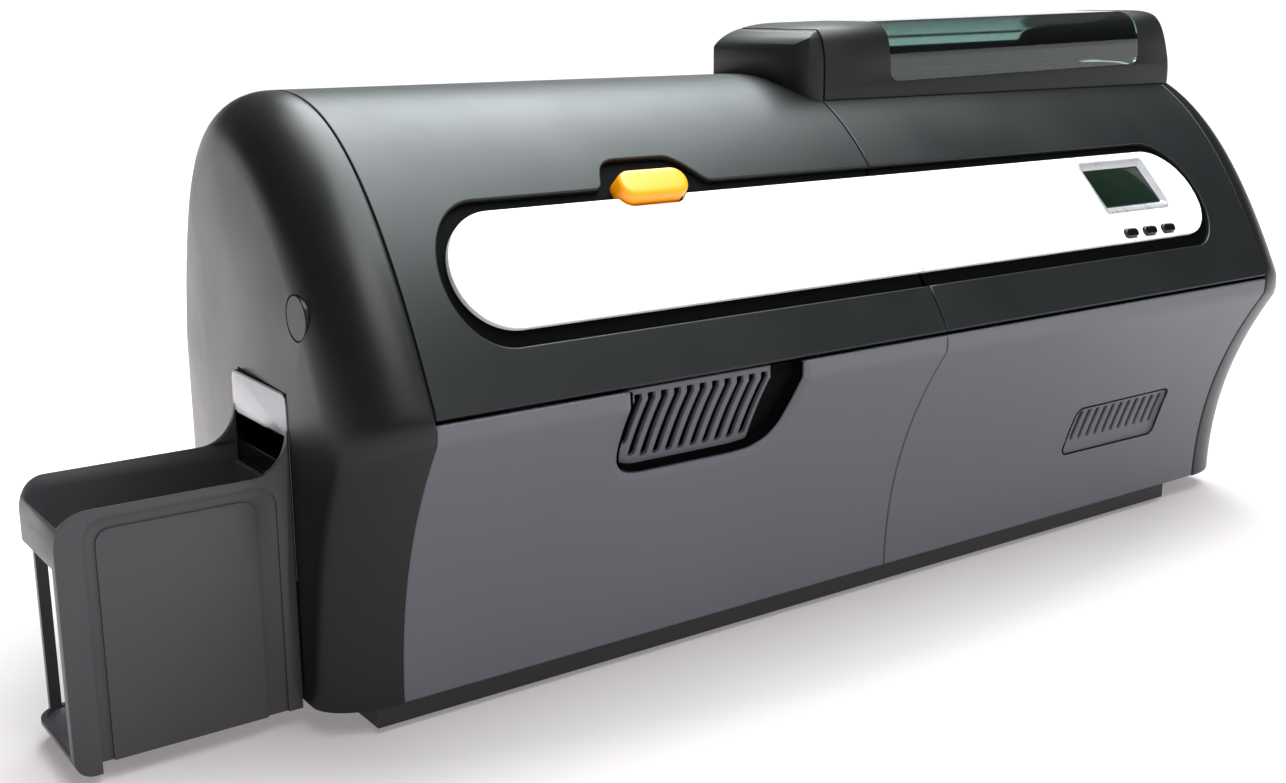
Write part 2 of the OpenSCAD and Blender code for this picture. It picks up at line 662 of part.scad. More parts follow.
// A roller with its shaft through both plates and a pulley behind the rear one
module roller(x, z, r, wheel) {
    bar_y(x, z, shaft_r, plate_y0 - 4, drive_y + drive_w);
    bar_y(x, z, r, side_l + 4, side_r - 4);
    bar_y(x, z, wheel, drive_y, drive_y + drive_w);
}
module transport_roller_1() color("#2a2a2c") place() roller(roller_x[0], roller_z, roller_r, pulley_r);
module transport_roller_2() color("#2a2a2c") place() roller(roller_x[1], roller_z, roller_r, pulley_r);
module transport_roller_3() color("#2a2a2c") place() roller(roller_x[2], roller_z, roller_r, pulley_r);
module platen_roller() color("#26262a") place() roller(platen_x, platen_z, platen_r, pulley_r + 2);
module pick_roller() color("#4a4640") place() roller(pick_x, pick_z, pick_r, pulley_r);

motor_y0 = plate_y1 - 36;
module transport_motor() color("#8d9094") place()
    block([motor_x - motor_w / 2, motor_y0, motor_z - motor_w / 2],
        [motor_x + motor_w / 2, plate_y1, motor_z + motor_w / 2]);
motor_pulley_r = 6;
module drive_pulley() color("#c9a64b") place() {
    bar_y(motor_x, motor_z, motor_shaft_r, plate_y1 + contact, drive_y + drive_w);
    bar_y(motor_x, motor_z, motor_pulley_r, drive_y, drive_y + drive_w);
}
// Loop round the motor's pulley and the rollers' pulleys, g outside them
module belt_loop(g) hull() {
    translate([roller_x[0], roller_z]) circle(pulley_r + g, $fn = 32);
    translate([roller_x[2], roller_z]) circle(pulley_r + g, $fn = 32);
    translate([motor_x, motor_z]) circle(motor_pulley_r + g, $fn = 32);
}
module drive_belt() color("#1a1a1a") place() through(drive_y + 1, drive_y + drive_w - 1) difference() {
    belt_loop(1.8);
    belt_loop(0.2);
}

// ---- Ribbon and printhead ----
spool_end = side_l + 1;
supply_r = 22;       // full roll of ribbon
takeup_r = 13;       // used ribbon
spool_pulley_r = 12;
module spool(i, roll_r) {
    bar_y(spool_x[i], spool_z, shaft_r, plate_y0 + 1, drive_y + drive_w);
    bar_y(spool_x[i], spool_z, roll_r, spool_end, side_r - 1);
    bar_y(spool_x[i], spool_z, spool_pulley_r, drive_y, drive_y + 5);
}
module ribbon_supply_spool() color("#2b2f6b") place() spool(0, supply_r);
module ribbon_takeup_spool() color("#2b2f6b") place() spool(1, takeup_r);
head_l = 16;
head_h = 14;
head_z = path_z + 1.2;
module printhead() color("#7c6f52") place() block([platen_x - head_l / 2, side_l + 3, head_z],
    [platen_x + head_l / 2, side_r - 3, head_z + head_h]);
module printhead_arm() color("#9a9da1") place() {
    bar_y(arm_x, arm_z, arm_r, plate_y0 - 3, plate_y1 + plate_t + 1);
    for (y = [side_l, side_r - 2.5])
        through(y, y + 2.5) polygon([[platen_x - head_l / 2 + 1, head_z + 3],
            [platen_x + head_l / 2 + 1, head_z + 3], [arm_x + 5, arm_z - 5], [arm_x + 5, arm_z + 5],
            [platen_x - head_l / 2 + 1, head_z + head_h + 2]]);
    block([platen_x - head_l / 2, side_l, head_z + head_h],
        [platen_x + head_l / 2, side_r, head_z + head_h + 3]);
}

// ---- Feeder ----
cas_x0 = pick_x - 22;
cas_wall = 2.5;
cas_x1 = cas_x0 + card_l + 2 * card_gap;
cas_z0 = path_z + 1;
cas_front = 232;
floor_t = 2.5;
module card_cassette() color("#17181a") place() difference() {
    block([cas_x0 - cas_wall, plate_y0 + plate_t, cas_z0], [cas_x1 + cas_wall, plate_y1, cas_front]);
    block([cas_x0, side_l, cas_z0 + floor_t], [cas_x1, side_r, far]);
    // mouth that lets one card out, and the pick roller's window in the floor
    block([cas_x0 - 10, side_l + 1, cas_z0 + floor_t],
        [cas_x0 + 1, side_r - 1, cas_z0 + floor_t + 1.6]);
    block([pick_x - 13, side_l + 3, cas_z0 - 1], [pick_x + 13, side_r - 3, cas_z0 + floor_t + 1]);
}
stack_z = cas_z0 + floor_t + 0.7;
module card_stack() color("#efefec") place() block([cas_x0 + card_gap, side_l + card_gap, stack_z],
    [cas_x0 + card_gap + card_l, side_l + card_gap + card_w, stack_z + stack_h]);
weight_z = stack_z + stack_h + contact;
knob_top = hood_top - 19;
module card_weight() color("#3c3f41") place() {
    block([cas_x0 + 2, side_l + 2, weight_z], [cas_x1 - 2, side_r - 2, weight_z + 10]);
    translate([(cas_x0 + cas_x1) / 2, path_y + 6, 0]) {
        translate([0, 0, weight_z + 9]) cylinder(r = 5, h = knob_top - weight_z - 9);
        translate([0, 0, knob_top - 7]) cylinder(r = 10, h = 7);
    }
}

// ---- Hood ----
hood_mid = (hood_y0 + hood_y1) / 2;
hood_base = hood_top - 52;
hood_power = 6;
hood_lean = atan(hood_drop / (lid_x1 - hood_x0));
hood_left_r = [36, 18];
hood_right_r = [6, 5];
hood_end_lean = 13;     // how far the right end leans in, towards its top
// Section of the hood, drawn in by t: a boxy half oval standing on hood_base
function hood_section(t) = concat(
    [for (a = [180:-9:0]) let (c = cos(a), s = sin(a))
        [hood_mid + sign(c) * (hood_d / 2 - t) * pow(abs(c), 2 / hood_power),
         hood_base + (hood_top - hood_base - t) * pow(s, 2 / hood_power)]]);
// Plan of the hood: its left end is a quarter oval that runs back from the seam
module hood_plan(t) polygon(concat(
    arc(hood_x0 + 15, hood_y0 + 32, 15 - t, 32 - t, 180, 270, 8),
    arc(lid_x1 - 6, hood_y0 + 6, 6 - t, 6 - t, -90, 0, 4),
    arc(lid_x1 - 6, hood_y1 - 6, 6 - t, 6 - t, 0, 90, 3),
    arc(hood_x0 + 6, hood_y1 - 6, 6 - t, 6 - t, 90, 180, 3)));
// Side view of the hood before it leans: round top corners and a leaning right end
module hood_side(t) polygon(concat(
    arc(hood_x0 + hood_left_r[0], hood_top - hood_left_r[1] + 0.1,
        hood_left_r[0] - t, hood_left_r[1] - t, 180, 90, 8),
    arc(lid_x1 - hood_end_lean - hood_right_r[0], hood_top - hood_right_r[1] + 0.1,
        hood_right_r[0] - t, hood_right_r[1] - t, 90, 0, 8),
    [[lid_x1 + 3 - t, hood_base - 8], [hood_x0 - 0.1 + t, hood_base - 8]]));
// Leans the hood's top down towards its left end
module leaned() translate([lid_x1, 0, hood_top]) rotate([0, -hood_lean, 0])
    translate([-lid_x1, 0, -hood_top]) children();
module hood_body(t) intersection() {
    leaned() intersection() {
        along(hood_x0 - 2, lid_x1 + 4) polygon(hood_section(t));
        through(hood_y0 - 1, hood_y1 + 1) hood_side(t);
    }
    translate([0, 0, hood_base]) linear_extrude(far) hood_plan(t);
}
// The casing's dome as a solid, swollen by g
module dome_mass(g) along(-10, mid_w + 20) polygon(concat(inward(dome, -g), [[body_d, 0], [0, 0]]));
module hood_fairing() color("#26272a") place() difference() {
    hood_body(0);
    difference() { hood_body(hood_wall); dome_mass(hood_wall); }
    dome_mass(skin_gap);
    block([cover_top_w - seam / 2, 0, 0], [far * 2, far, far]);
}
// The window's opening: the front and top, and a part over the rear shoulder
module window_cut(g) leaned() {
    block([window_x - g, 0, hood_top - window_h - g], [window_x + window_l + g, hood_mid + 14 + g, far]);
    block([window_x - g, hood_mid, hood_top - 14 - g], [window_x + window_back_l + g, far, far]);
}
module feeder_lid() color("#2a2a2b") place() difference() {
    union() {
        difference() {
            hood_body(0);
            difference() {
                hood_body(hood_wall);
                block([0, 0, 0], [lid_x0 + hood_wall, far, far]);
            }
            dome_mass(0.6);
            block([0, 0, 0], [lid_x0, far, far]);
            window_cut(0);
        }
        for (x = ear_x) along(x, x + knuckle_w) polygon([[hood_y1 - 3, lid_axis_z - 3],
            [lid_axis_y, lid_axis_z - lid_r], [lid_axis_y, lid_axis_z + lid_r],
            [hood_y1 - 3, lid_axis_z + lid_r]]);
        for (x = ear_x) bar_x(lid_axis_y, lid_axis_z, lid_r, x, x + knuckle_w);
    }
    for (x = ear_x) bar_x(lid_axis_y, lid_axis_z, pin_r + run_c, x - 1, x + knuckle_w + 1);
}
module feeder_window() color("#2f6f70") place() intersection() {
    difference() { hood_body(0); hood_body(hood_wall); }
    window_cut(-0.1);
}
module lid_hinge_pins() color("#c4c6c8") place() for (x = ear_x)
    bar_x(lid_axis_y, lid_axis_z, pin_r, x - ear_w - contact, x + knuckle_w + ear_w + contact);

// ---- Print cover ----
hinge_x = [45, cover_w - 84];
knuckle_fixed = 20;
knuckle_side = 12;
// Inner part of the cover's right edge, cut away so that the leaning edge clears as it swings up
module lap_cut() difference() {
    along(body_d, mid_w) polygon(layer(dome, wall / 2 - band_proud, wall + 1));
    left_part(-seam / 2 - lap);
}
module top_cover() color("#4c5156") place() difference() {
    union() {
        intersection() {
            along(seam / 2, mid_w) polygon(dome_skin);
            left_part(-seam / 2);
        }
        for (x = hinge_x, dx = [-knuckle_side - contact, knuckle_fixed + contact])
            bar_x(hinge_y, hinge_z, barrel_r, x + dx, x + dx + knuckle_side);
    }
    through(-20, body_d / 2) channel_outline(0);
    lap_cut();
    for (x = hinge_x) {
        block([x - contact, hinge_y - barrel_r - 3, 0],
            [x + knuckle_fixed + contact, body_d + 1, hinge_z + barrel_r + 2]);
        bar_x(hinge_y, hinge_z, pin_r + run_c, x - knuckle_side - 2, x + knuckle_fixed + knuckle_side + 2);
    }
}
// A point t below the dome's surface at y
function under(y, t) = [y + t * sin(slope_angle(y)), dome_z(y) - t * cos(slope_angle(y))];
lever_z = belt_z + 48.5;
lever_y = dome_y(lever_z) + 14;
lever_r = 4;
lever_pin_r = 1.8;
lever_w = 12;
ear_t = 2.5;
module channel_left() color("#0d0d0e") place() {
    difference() {
        intersection() {
            channel_layer();
            left_part(-seam / 2 - 2 * lap);
        }
        button_hole(0.5);
    }
    // ears and pin that carry the latch lever
    for (x = [button_x - lever_w / 2 - contact - ear_t, button_x + lever_w / 2 + contact])
        along(x, x + ear_t) polygon([under(dome_y(lever_z - 10), tray_depth - 1),
            under(dome_y(lever_z + 8), tray_depth - 1), [lever_y + 2, lever_z + 4],
            [lever_y + 4, lever_z - 4], [lever_y - 2, lever_z - 5]]);
    bar_x(lever_y, lever_z, lever_pin_r, button_x - lever_w / 2 - ear_t, button_x + lever_w / 2 + ear_t);
}
module band_left() color("#f4f4f2") place() difference() {
    intersection() {
        band_skin(-band_proud, wall);
        through(-20, body_d / 2) band_outline(0, 0, 0);
        left_part(-seam / 2);
    }
    lap_cut();
    button_hole(1.2);
}
module cover_hinge_pins() color("#c4c6c8") place() for (x = hinge_x)
    bar_x(hinge_y, hinge_z, pin_r, x - knuckle_side - contact, x + knuckle_fixed + knuckle_side + contact);
module hinge_brackets() color("#a7aaae") place() for (x = hinge_x) difference() {
    union() {
        bar_x(hinge_y, hinge_z, barrel_r, x, x + knuckle_fixed);
        block([x, body_d - wall - 3, 100], [x + knuckle_fixed, body_d - wall, hinge_z]);
    }
    bar_x(hinge_y, hinge_z, pin_r, x - 1, x + knuckle_fixed + 1);
}

// ---- Release button, latch ----
stem = 9;
module release_button() color("#f0a21c") place() on_dome(button_x, button_y) {
    translate([0, 0, -5]) linear_extrude(11) pill(button_l, button_w, button_w / 2);
    translate([0, 0, -stem]) linear_extrude(stem) pill(12, 8, 4);
}
pad_t = 3;
pad_gap = 0.4;
hook_y0 = dome_y(belt_z + 4) + 13;
hook_z0 = belt_z + 3.5;
nose = 7;
module latch_lever() color("#8e9196") place() difference() {
    pad = under(button_y, stem + pad_gap + pad_t);
    union() {
        on_dome(button_x, button_y) translate([-5, -3, -stem - pad_gap - pad_t]) cube([10, 6, pad_t]);
        bar_x(lever_y, lever_z, lever_r, button_x - lever_w / 2, button_x + lever_w / 2);
        along(button_x - lever_w / 2, button_x + lever_w / 2) {
            polygon([[lever_y - 2, lever_z + 1.6], [lever_y + 2, lever_z - 1.6],
                pad + [2, -1.6], pad + [-1.6, 1.2]]);
            polygon([[lever_y - 3, lever_z - 2], [lever_y + 3, lever_z - 2],
                [hook_y0 + 9.5, hook_z0 + 12], [hook_y0 + 4, hook_z0 + 4], [hook_y0 + 4, hook_z0],
                [hook_y0 + nose, hook_z0], [hook_y0 + nose, hook_z0 - 3.5], [hook_y0, hook_z0 - 3.5],
                [hook_y0, hook_z0 + 5], [hook_y0 + 5, hook_z0 + 14]]);
        }
    }
    bar_x(lever_y, lever_z, lever_pin_r + run_c, button_x - lever_w, button_x + lever_w);
}
// Tongue that the lever's nose stops under, on a bracket on the front chassis plate
module latch_striker() color("#b9bcc0") place() {
    block([button_x - 8, hook_y0 + nose + pad_gap, hook_z0 + contact],
        [button_x + 8, plate_y0, hook_z0 + contact + 3]);
    block([button_x - 8, plate_y0 - 2, hook_z0 - 12], [button_x + 8, plate_y0, hook_z0 + contact]);
}

// ---- Electronics ----
board_l = 180;
board_z = 24;
board_h = 96;
chip_w = 30;
module main_board() color("#1f6b3c") place() {
    block([board_x, board_y, board_z], [board_x + board_l, board_y + 1.6, board_z + board_h]);
    block([board_x + board_l / 2, board_y - 4, board_z + board_h - 2 * chip_w],
        [board_x + board_l / 2 + chip_w, board_y, board_z + board_h - chip_w]);
}
// A metal socket shell on the board, open to the rear
module port(x, w, h) difference() {
    block([x, board_y + 1.6, usb_z], [x + w, body_d - 0.5, usb_z + h]);
    block([x + 1.5, body_d - 12, usb_z + 1.5], [x + w - 1.5, body_d, usb_z + h - 1.5]);
}
module rear_ports() color("#c8cacc") place() {
    port(usb_x, usb_w, usb_h);
    port(net_x, net_w, net_h);
}
supply_x = mid_w - 163;
supply_l = 62;
supply_h = 60;
module power_supply() color("#9da0a4") place()
    block([supply_x, drive_y + drive_w + 20, tray_floor],
        [supply_x + supply_l, body_d - 50, tray_floor + supply_h]);
module power_inlet() color("#141414") place() difference() {
    block([inlet_x, body_d - 24, inlet_z], [inlet_x + inlet_w, body_d, inlet_z + inlet_h]);
    block([inlet_x + 2, body_d - 17, inlet_z + 2],
        [inlet_x + inlet_w - 2, body_d + 1, inlet_z + inlet_h - 2]);
}
rocker_r = 10.5;
rocker_y = body_d - rocker_r;
rocker_z = inlet_z + switch_h / 2;
module switch_frame() color("#141414") place() difference() {
    block([switch_x, body_d - 26, inlet_z], [switch_x + switch_w, body_d, inlet_z + switch_h]);
    bar_x(rocker_y, rocker_z, rocker_r + contact, switch_x + 1.5, switch_x + switch_w - 1.5);
}
module power_switch() color("#0e0e0e") place() difference() {
    bar_x(rocker_y, rocker_z, rocker_r, switch_x + 1.5 + contact, switch_x + switch_w - 1.5 - contact);
    block([switch_x, rocker_y + rocker_r - 2.5, rocker_z],
        [switch_x + switch_w, body_d + 1, rocker_z + rocker_r]);
}
fan_y = body_d - wall - fan_t;
fan_cx = fan_x + fan_w / 2;
fan_cz = fan_z + fan_w / 2;
fan_hub = 13;
fan_floor = 3;
module fan_housing() color("#1b1b1b") place() {
    difference() {
        block([fan_x, fan_y, fan_z], [fan_x + fan_w, body_d - wall, fan_z + fan_w]);
        bar_y(fan_cx, fan_cz, fan_w / 2 - 2, fan_y - 1, body_d);
    }
    bar_y(fan_cx, fan_cz, fan_hub, fan_y, fan_y + fan_floor);
    for (a = [45:90:315]) translate([fan_cx, fan_y + 0.5, fan_cz]) rotate([0, a, 0])
        translate([fan_hub - 1, 0, -2]) cube([fan_w / 2 - fan_hub, fan_floor - 1, 4]);
}
module fan_rotor() color("#2b2b2b") place() {
    y0 = fan_y + fan_floor + contact;
    y1 = body_d - wall - 1;
    bar_y(fan_cx, fan_cz, fan_hub, y0, y1);
    for (i = [0:6]) translate([fan_cx, y0, fan_cz]) rotate([0, i * 360 / 7, 0])
        translate([fan_hub - 1, 1, 0]) rotate([25, 0, 0]) cube([fan_w / 2 - fan_hub - 2, 9, 1.4]);
}

base_tray();
rubber_feet();
left_end_cap();
right_end_cap();
front_panel_left();
front_panel_right();
rear_panel_left();
rear_panel_right();
right_top_cover();
band_right();
channel_right();
vent_grille();
lcd_bezel();
lcd_glass();
side_plug();
output_bezel();
chassis_front_plate();
chassis_rear_plate();
chassis_tie_bars();
chassis_screws();
card_guides();
hinge_brackets();
cover_hinge_pins();
lid_hinge_pins();
card_cassette();
card_stack();
transport_motor();
drive_belt();
main_board();
rear_ports();
power_supply();
power_inlet();
fan_housing();
latch_striker();
top_cover();
band_left();
channel_left();
hood_fairing();
release_button();
latch_lever();
feeder_lid();
feeder_window();
menu_key_1();
menu_key_2();
menu_key_3();
output_hopper();
printhead_arm();
printhead();
platen_roller();
pick_roller();
transport_roller_1();
transport_roller_2();
transport_roller_3();
drive_pulley();
ribbon_supply_spool();
ribbon_takeup_spool();
fan_rotor();
card_weight();
power_switch();
switch_frame();
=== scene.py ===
import math

import bmesh
import bpy
import numpy as np
from bpy.props import FloatProperty, IntProperty, PointerProperty, StringProperty
from mathutils import Matrix, Vector
from mathutils.geometry import delaunay_2d_cdt


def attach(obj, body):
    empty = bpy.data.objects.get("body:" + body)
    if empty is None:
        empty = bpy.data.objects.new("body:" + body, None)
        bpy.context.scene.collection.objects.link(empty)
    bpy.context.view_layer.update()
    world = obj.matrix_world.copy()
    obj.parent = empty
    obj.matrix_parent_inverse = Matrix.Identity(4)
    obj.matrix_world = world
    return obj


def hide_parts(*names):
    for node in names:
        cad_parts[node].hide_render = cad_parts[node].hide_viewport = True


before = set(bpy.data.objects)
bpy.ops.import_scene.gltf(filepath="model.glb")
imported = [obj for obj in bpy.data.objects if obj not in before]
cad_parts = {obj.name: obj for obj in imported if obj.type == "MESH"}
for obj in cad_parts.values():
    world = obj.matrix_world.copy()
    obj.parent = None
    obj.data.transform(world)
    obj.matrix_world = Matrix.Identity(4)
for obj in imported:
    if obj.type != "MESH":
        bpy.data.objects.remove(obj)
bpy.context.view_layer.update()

bl_info = {
    "name": "Card printer",
    "version": (1, 0, 0),
    "blender": (4, 5, 0),
    "location": "View3D > Sidebar > Card printer",
    "description": "Dresses the packed card printer: skins, fascia, display, hood, hopper and stage",
    "category": "Object",
}

# The maker's plan, in millimetres: x from the left end cap's seam, y from the front-most line
# of the casing, z from the table. to_row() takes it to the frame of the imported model.
MID_W = 563.0        # between the seams of the end caps
BODY_D = 272.0       # casing, front to rear
BELT_Z = 147.5       # the dome starts here
DOME_RISE = 122.0    # its crest lies this much higher
DOME_POWER = 2.3     # how square its arch is
SKIRT_Z = 12.0       # lower edge of the panels
CASING_H = BELT_Z + DOME_RISE - SKIRT_Z
TUCK = 38.5          # the panels' foot lies this far back
NOSE_Z = 137.0       # the tuck starts here
PANEL_TOP = 145.1    # upper edge of the front panels, and of the rear ones
REAR_TOP = 143.1
SEAM = 0.5           # gap between two mouldings
WALL = 2.6           # thickness of a moulding
CAP_FRONT = 34.0     # depth of an end cap at the front and at the rear
CAP_REAR = 4.0
CAP_ROUND = 28.0     # radius of its rounded edge
COVER_W = 289.0      # the print cover's width at the belt
COVER_LEAN = 10.5    # its right edge has come in by this much at LEAN_Z
LEAN_Z = BELT_Z + 76
EDGE_TOP = 262.0     # the edge is followed up to this height on the front
# the white band, the groove's width over and beside it, and under it, and the release button
BAND_X0, BAND_X1, BAND_Z0, BAND_Z1 = 24.5, 523.5, 176.0, 221.4
GROOVE, GROOVE_LOW = 4.6, 6.6
BUTTON_X, BUTTON_Z = 139.0, 224.8
LATCH_AXIS = (40.8923, 196.0)      # y and z of the latch lever's pin
LEVER_HALF, EAR = 6.3, 2.5         # half the lever's width with its play, and an ear's thickness
LID_AXIS = (166.5, 275.02)         # y and z of the lid's hinge
HINGE_AXIS, BARREL = (266.8, 150.0), 4.6          # of the print cover's hinge, and its radius
HINGE_X, HINGE_W, PLAY = (45.0, 205.0), 20.0, 0.3  # its brackets, and the play at moving parts
PLUG_AXIS, PLUG_R = (53, 184), 9.5                 # the round plug in the left end cap
# the plate with the card slot and the slot in it, as y0, y1, z0, z1
PLATE, CARD_SLOT = (67.3, 127.7, 66.1, 149.7), (70, 125, 118, 130)
# the hood: its two parts, the knuckles of its hinge, the feeder's opening under it and the window
HOOD_X0, FAIRING_X1, LID_X0, LID_X1 = 262.5, 278.25, 279.5, 573.0
HOOD_Y0, HOOD_Y1 = 85.0, 161.0
HOOD_TOP, HOOD_BASE, HOOD_POWER, HOOD_WALL = 302.0, 250.0, 6.0, 2.2
HOOD_DROP = 6.5      # fall of the hood's top towards its left end
HOOD_LEFT, HOOD_RIGHT, HOOD_END_LEAN = (36.0, 18.0), (6.0, 5.0), 13.0    # its upper corners
KNUCKLE_X, KNUCKLE_W = (LID_X0 + 30, LID_X1 - 40), 14
MOUTH_X, MOUTH_Y = (329, 555), (92.0, 149.0)
WINDOW_X0, WINDOW_X1, WINDOW_Z, WINDOW_BACK = 326.0, 537.0, 270.5, 184.0
# the hopper and its hooks
HOP_X0, HOP_X1, HOP_Y0, HOP_Y1 = -132.0, -34.1, 67.5, 127.5
HOP_Z0, HOP_RIM, HOP_WALL, THROAT = 4.0, 115.7, 2.5, 18.0
HOOK_Y, HOOK_Z = (74.0, 115.0), 88.0
HOP_CORNER, FOOT_H = 14.0, 4.5
# the display, leaning to the right towards its foot, and the keys
LCD_X, LCD_Z, LCD_W, LCD_H = 439.5, 205.0, 49.0, 24.0
LCD_FRAME, LCD_LEAN = 4.5, 3.6
KEYS, KEY_Z = (453.0, 469.8, 486.6), 180.4
# the large louvre's recess in [x, z], from its left top round its foot to its right top
VENT = [(95.3, 146.0), (96.2, 128.0), (97.6, 114.0), (99.6, 107.0), (104.5, 102.0), (112.0, 100.4),
        (168.0, 100.2), (178.0, 101.0), (187.0, 105.0), (191.8, 112.0), (193.6, 124.0), (193.4, 146.0)]
SMALL_X, SMALL_Z0, SMALL_L, SMALL_H = 435.0, 50.0, 78.0, 29.0     # the small louvre
# sockets of the left and the right rear panel, as x, z, width and height
SOCKETS = ([(100, 50, 13, 11), (140, 50, 16, 14)], [(470, 34, 28, 24), (512, 34, 16, 24)])
FAN_X, FAN_DROP, FAN_R = 373, 70, 26      # FAN_DROP is measured from the panel's upper edge
# the camera: its place in metres, its turn in degrees and its focal length in pixels of an image
CAMERA_AT, CAMERA_TURN = (-0.51124, -0.65859, 0.30757), (90 - 14.17, 0.08, -35.98)
FOCAL, IMAGE_W, SENSOR = 1546.72, 1286, 36.0
# the lamps: place, target, size in metres, power and colour
SOFTBOXES = {
    "softbox_rear": ((0.45, 0.2, 1.5), (0.42, 0.1, 0.2), (1.2, 2.4), 84, "#f0f8fa"),
    "softbox_overhead": ((0.4, 0.9, 3.2), (0.2, 0.3, 0), (2.0, 2.0), 50, "#ffffff"),
    "softbox_belt": ((-0.35, -0.95, 1.3), (0.1, -0.1, 0.2), (0.6, 0.6), 7, "#ffffff"),
    "softbox_front": ((0.5, -1.6, 0.9), (0.2, -0.1, 0.15), (1.4, 0.4), 3, "#ffffff"),
}


# ---- Small tools ----

def to_row(points):
    """Points of the maker's plan in mm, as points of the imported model's frame in metres."""
    p = np.asarray(points, float).reshape(-1, 3)
    return (p + np.array([-232.5, -136.0, 0.0])) / 1000.0


def linear(code):
    """An sRGB colour such as #5b5c62 as the linear colour that shaders use."""
    parts = [int(code[i:i + 2], 16) / 255 for i in (1, 3, 5)]
    return tuple(c / 12.92 if c <= 0.04045 else ((c + 0.055) / 1.055) ** 2.4 for c in parts) + (1.0,)


def dome_z(y):
    """Height of the dome at depth y."""
    return BELT_Z + DOME_RISE * (1 - np.abs(1 - 2 * np.asarray(y, float) / BODY_D) ** DOME_POWER)


def dome_y(z):
    """Depth of the dome's front at height z."""
    return BODY_D / 2 * (1 - (1 - (z - BELT_Z) / DOME_RISE) ** (1 / DOME_POWER))


def tuck_y(z):
    """How far the panels lie behind the casing's front at height z."""
    z = np.asarray(z, float)
    return np.where(z > NOSE_Z, 0.0, TUCK * (1 - ((z - SKIRT_Z) / (NOSE_Z - SKIRT_Z)).clip(0, 1) ** 2.15))


def unit(rows, least=0.0):
    """Rows scaled to a length of one."""
    return rows / np.linalg.norm(rows, axis=1)[:, None].clip(least)


def lengths(path):
    """Length along a path at each of its points."""
    return np.concatenate([[0], np.cumsum(np.linalg.norm(np.diff(path, axis=0), axis=1))])


def even(points, step):
    """The same open path with points about step apart."""
    p = np.asarray(points, float)
    return even_to(p, max(2, int(round(lengths(p)[-1] / step)) + 1))


def even_to(path, n):
    """The same open path with n points."""
    s = lengths(path)
    t = np.linspace(0, s[-1], n)
    return np.stack([np.interp(t, s, path[:, k]) for k in range(path.shape[1])], 1)


def softened(points, sigma):
    """A path of 1 mm steps with its corners rounded, as a mould's edges are."""
    p = even(points, 1.0)
    k = np.exp(-0.5 * (np.arange(-12, 13) / sigma) ** 2)
    k /= k.sum()
    head, tail = 2 * p[0] - p[12:0:-1], 2 * p[-1] - p[-2:-14:-1]
    q = np.concatenate([head, p, tail])
    return np.stack([np.convolve(q[:, i], k, "valid") for i in (0, 1)], 1)


def fillet(corners, n=6):
    """A path through (x, y, radius) corners, each rounded by its radius."""
    out = []
    m = len(corners)
    for i, (x, y, r) in enumerate(corners):
        p = np.array([x, y], float)
        if r <= 0:
            out.append(p)
            continue
        a = np.array(corners[i - 1][:2], float) - p
        b = np.array(corners[(i + 1) % m][:2], float) - p
        la, lb = np.linalg.norm(a), np.linalg.norm(b)
        a, b = a / la, b / lb
        half = math.acos(max(-1, min(1, float(a @ b)))) / 2
        if half > math.pi / 2 - 0.02:
            out.append(p)
            continue
        t = min(r / math.tan(half), 0.49 * la, 0.49 * lb)
        r = t * math.tan(half)
        c = p + (a + b) / np.linalg.norm(a + b) * (r / math.sin(half))
        u, v = p + a * t - c, p + b * t - c
        turn = math.atan2(u[0] * v[1] - u[1] * v[0], float(u @ v))
        for k in range(n + 1):
            w = turn * k / n
            out.append(c + [u[0] * math.cos(w) - u[1] * math.sin(w), u[0] * math.sin(w) + u[1] * math.cos(w)])
    return np.array(out)


def rounded(x0, x1, y0, y1, low, high=None, n=6):
    """A rectangle whose corners have the radius low at y0 and high at y1."""
    high = low if high is None else high
    return fillet([(x0, y0, low), (x1, y0, low), (x1, y1, high), (x0, y1, high)], n=n)


def arc(x, y, rx, ry, a0, a1, n):
    """Part of an ellipse, from angle a0 to a1 in degrees."""
    a = np.radians(np.linspace(a0, a1, n + 1))
    return np.stack([x + rx * np.cos(a), y + ry * np.sin(a)], 1)


def area2(loop):
    """Twice the area of a closed outline, above zero when it runs anticlockwise."""
    x, y = loop[:, 0], loop[:, 1]
    return float((x * np.roll(y, -1) - np.roll(x, -1) * y).sum())


def turned(loop, ccw):
    return loop if (area2(loop) > 0) == ccw else loop[::-1]


def spaced(loop, step):
    """A closed outline with points at most about step apart and none closer than 0.3 mm."""
    q = []
    for a, b in zip(loop, np.roll(loop, -1, axis=0)):
        n = max(1, int(np.linalg.norm(b - a) / step))
        q += [a + (b - a) * k / n for k in range(n)]
    q = np.array(q)
    while True:
        close = np.hypot(*(q - np.roll(q, 1, axis=0)).T) < 0.3
        close &= ~np.roll(close, 1)
        if not close.any():
            return q
        q = q[~close]


def inward(loop):
    """The way into a closed outline at each of its points, longer at its corners."""
    d = unit(np.roll(loop, -1, axis=0) - loop, 1e-9)
    left = np.stack([-d[:, 1], d[:, 0]], 1)
    m = unit(left + np.roll(left, 1, axis=0), 1e-6)
    return m / (m * left).sum(1)[:, None].clip(0.6)


def crossings(xs, ys):
    """Every point of a grid with the given lines."""
    return np.stack([g.ravel() for g in np.meshgrid(xs, ys)], 1)


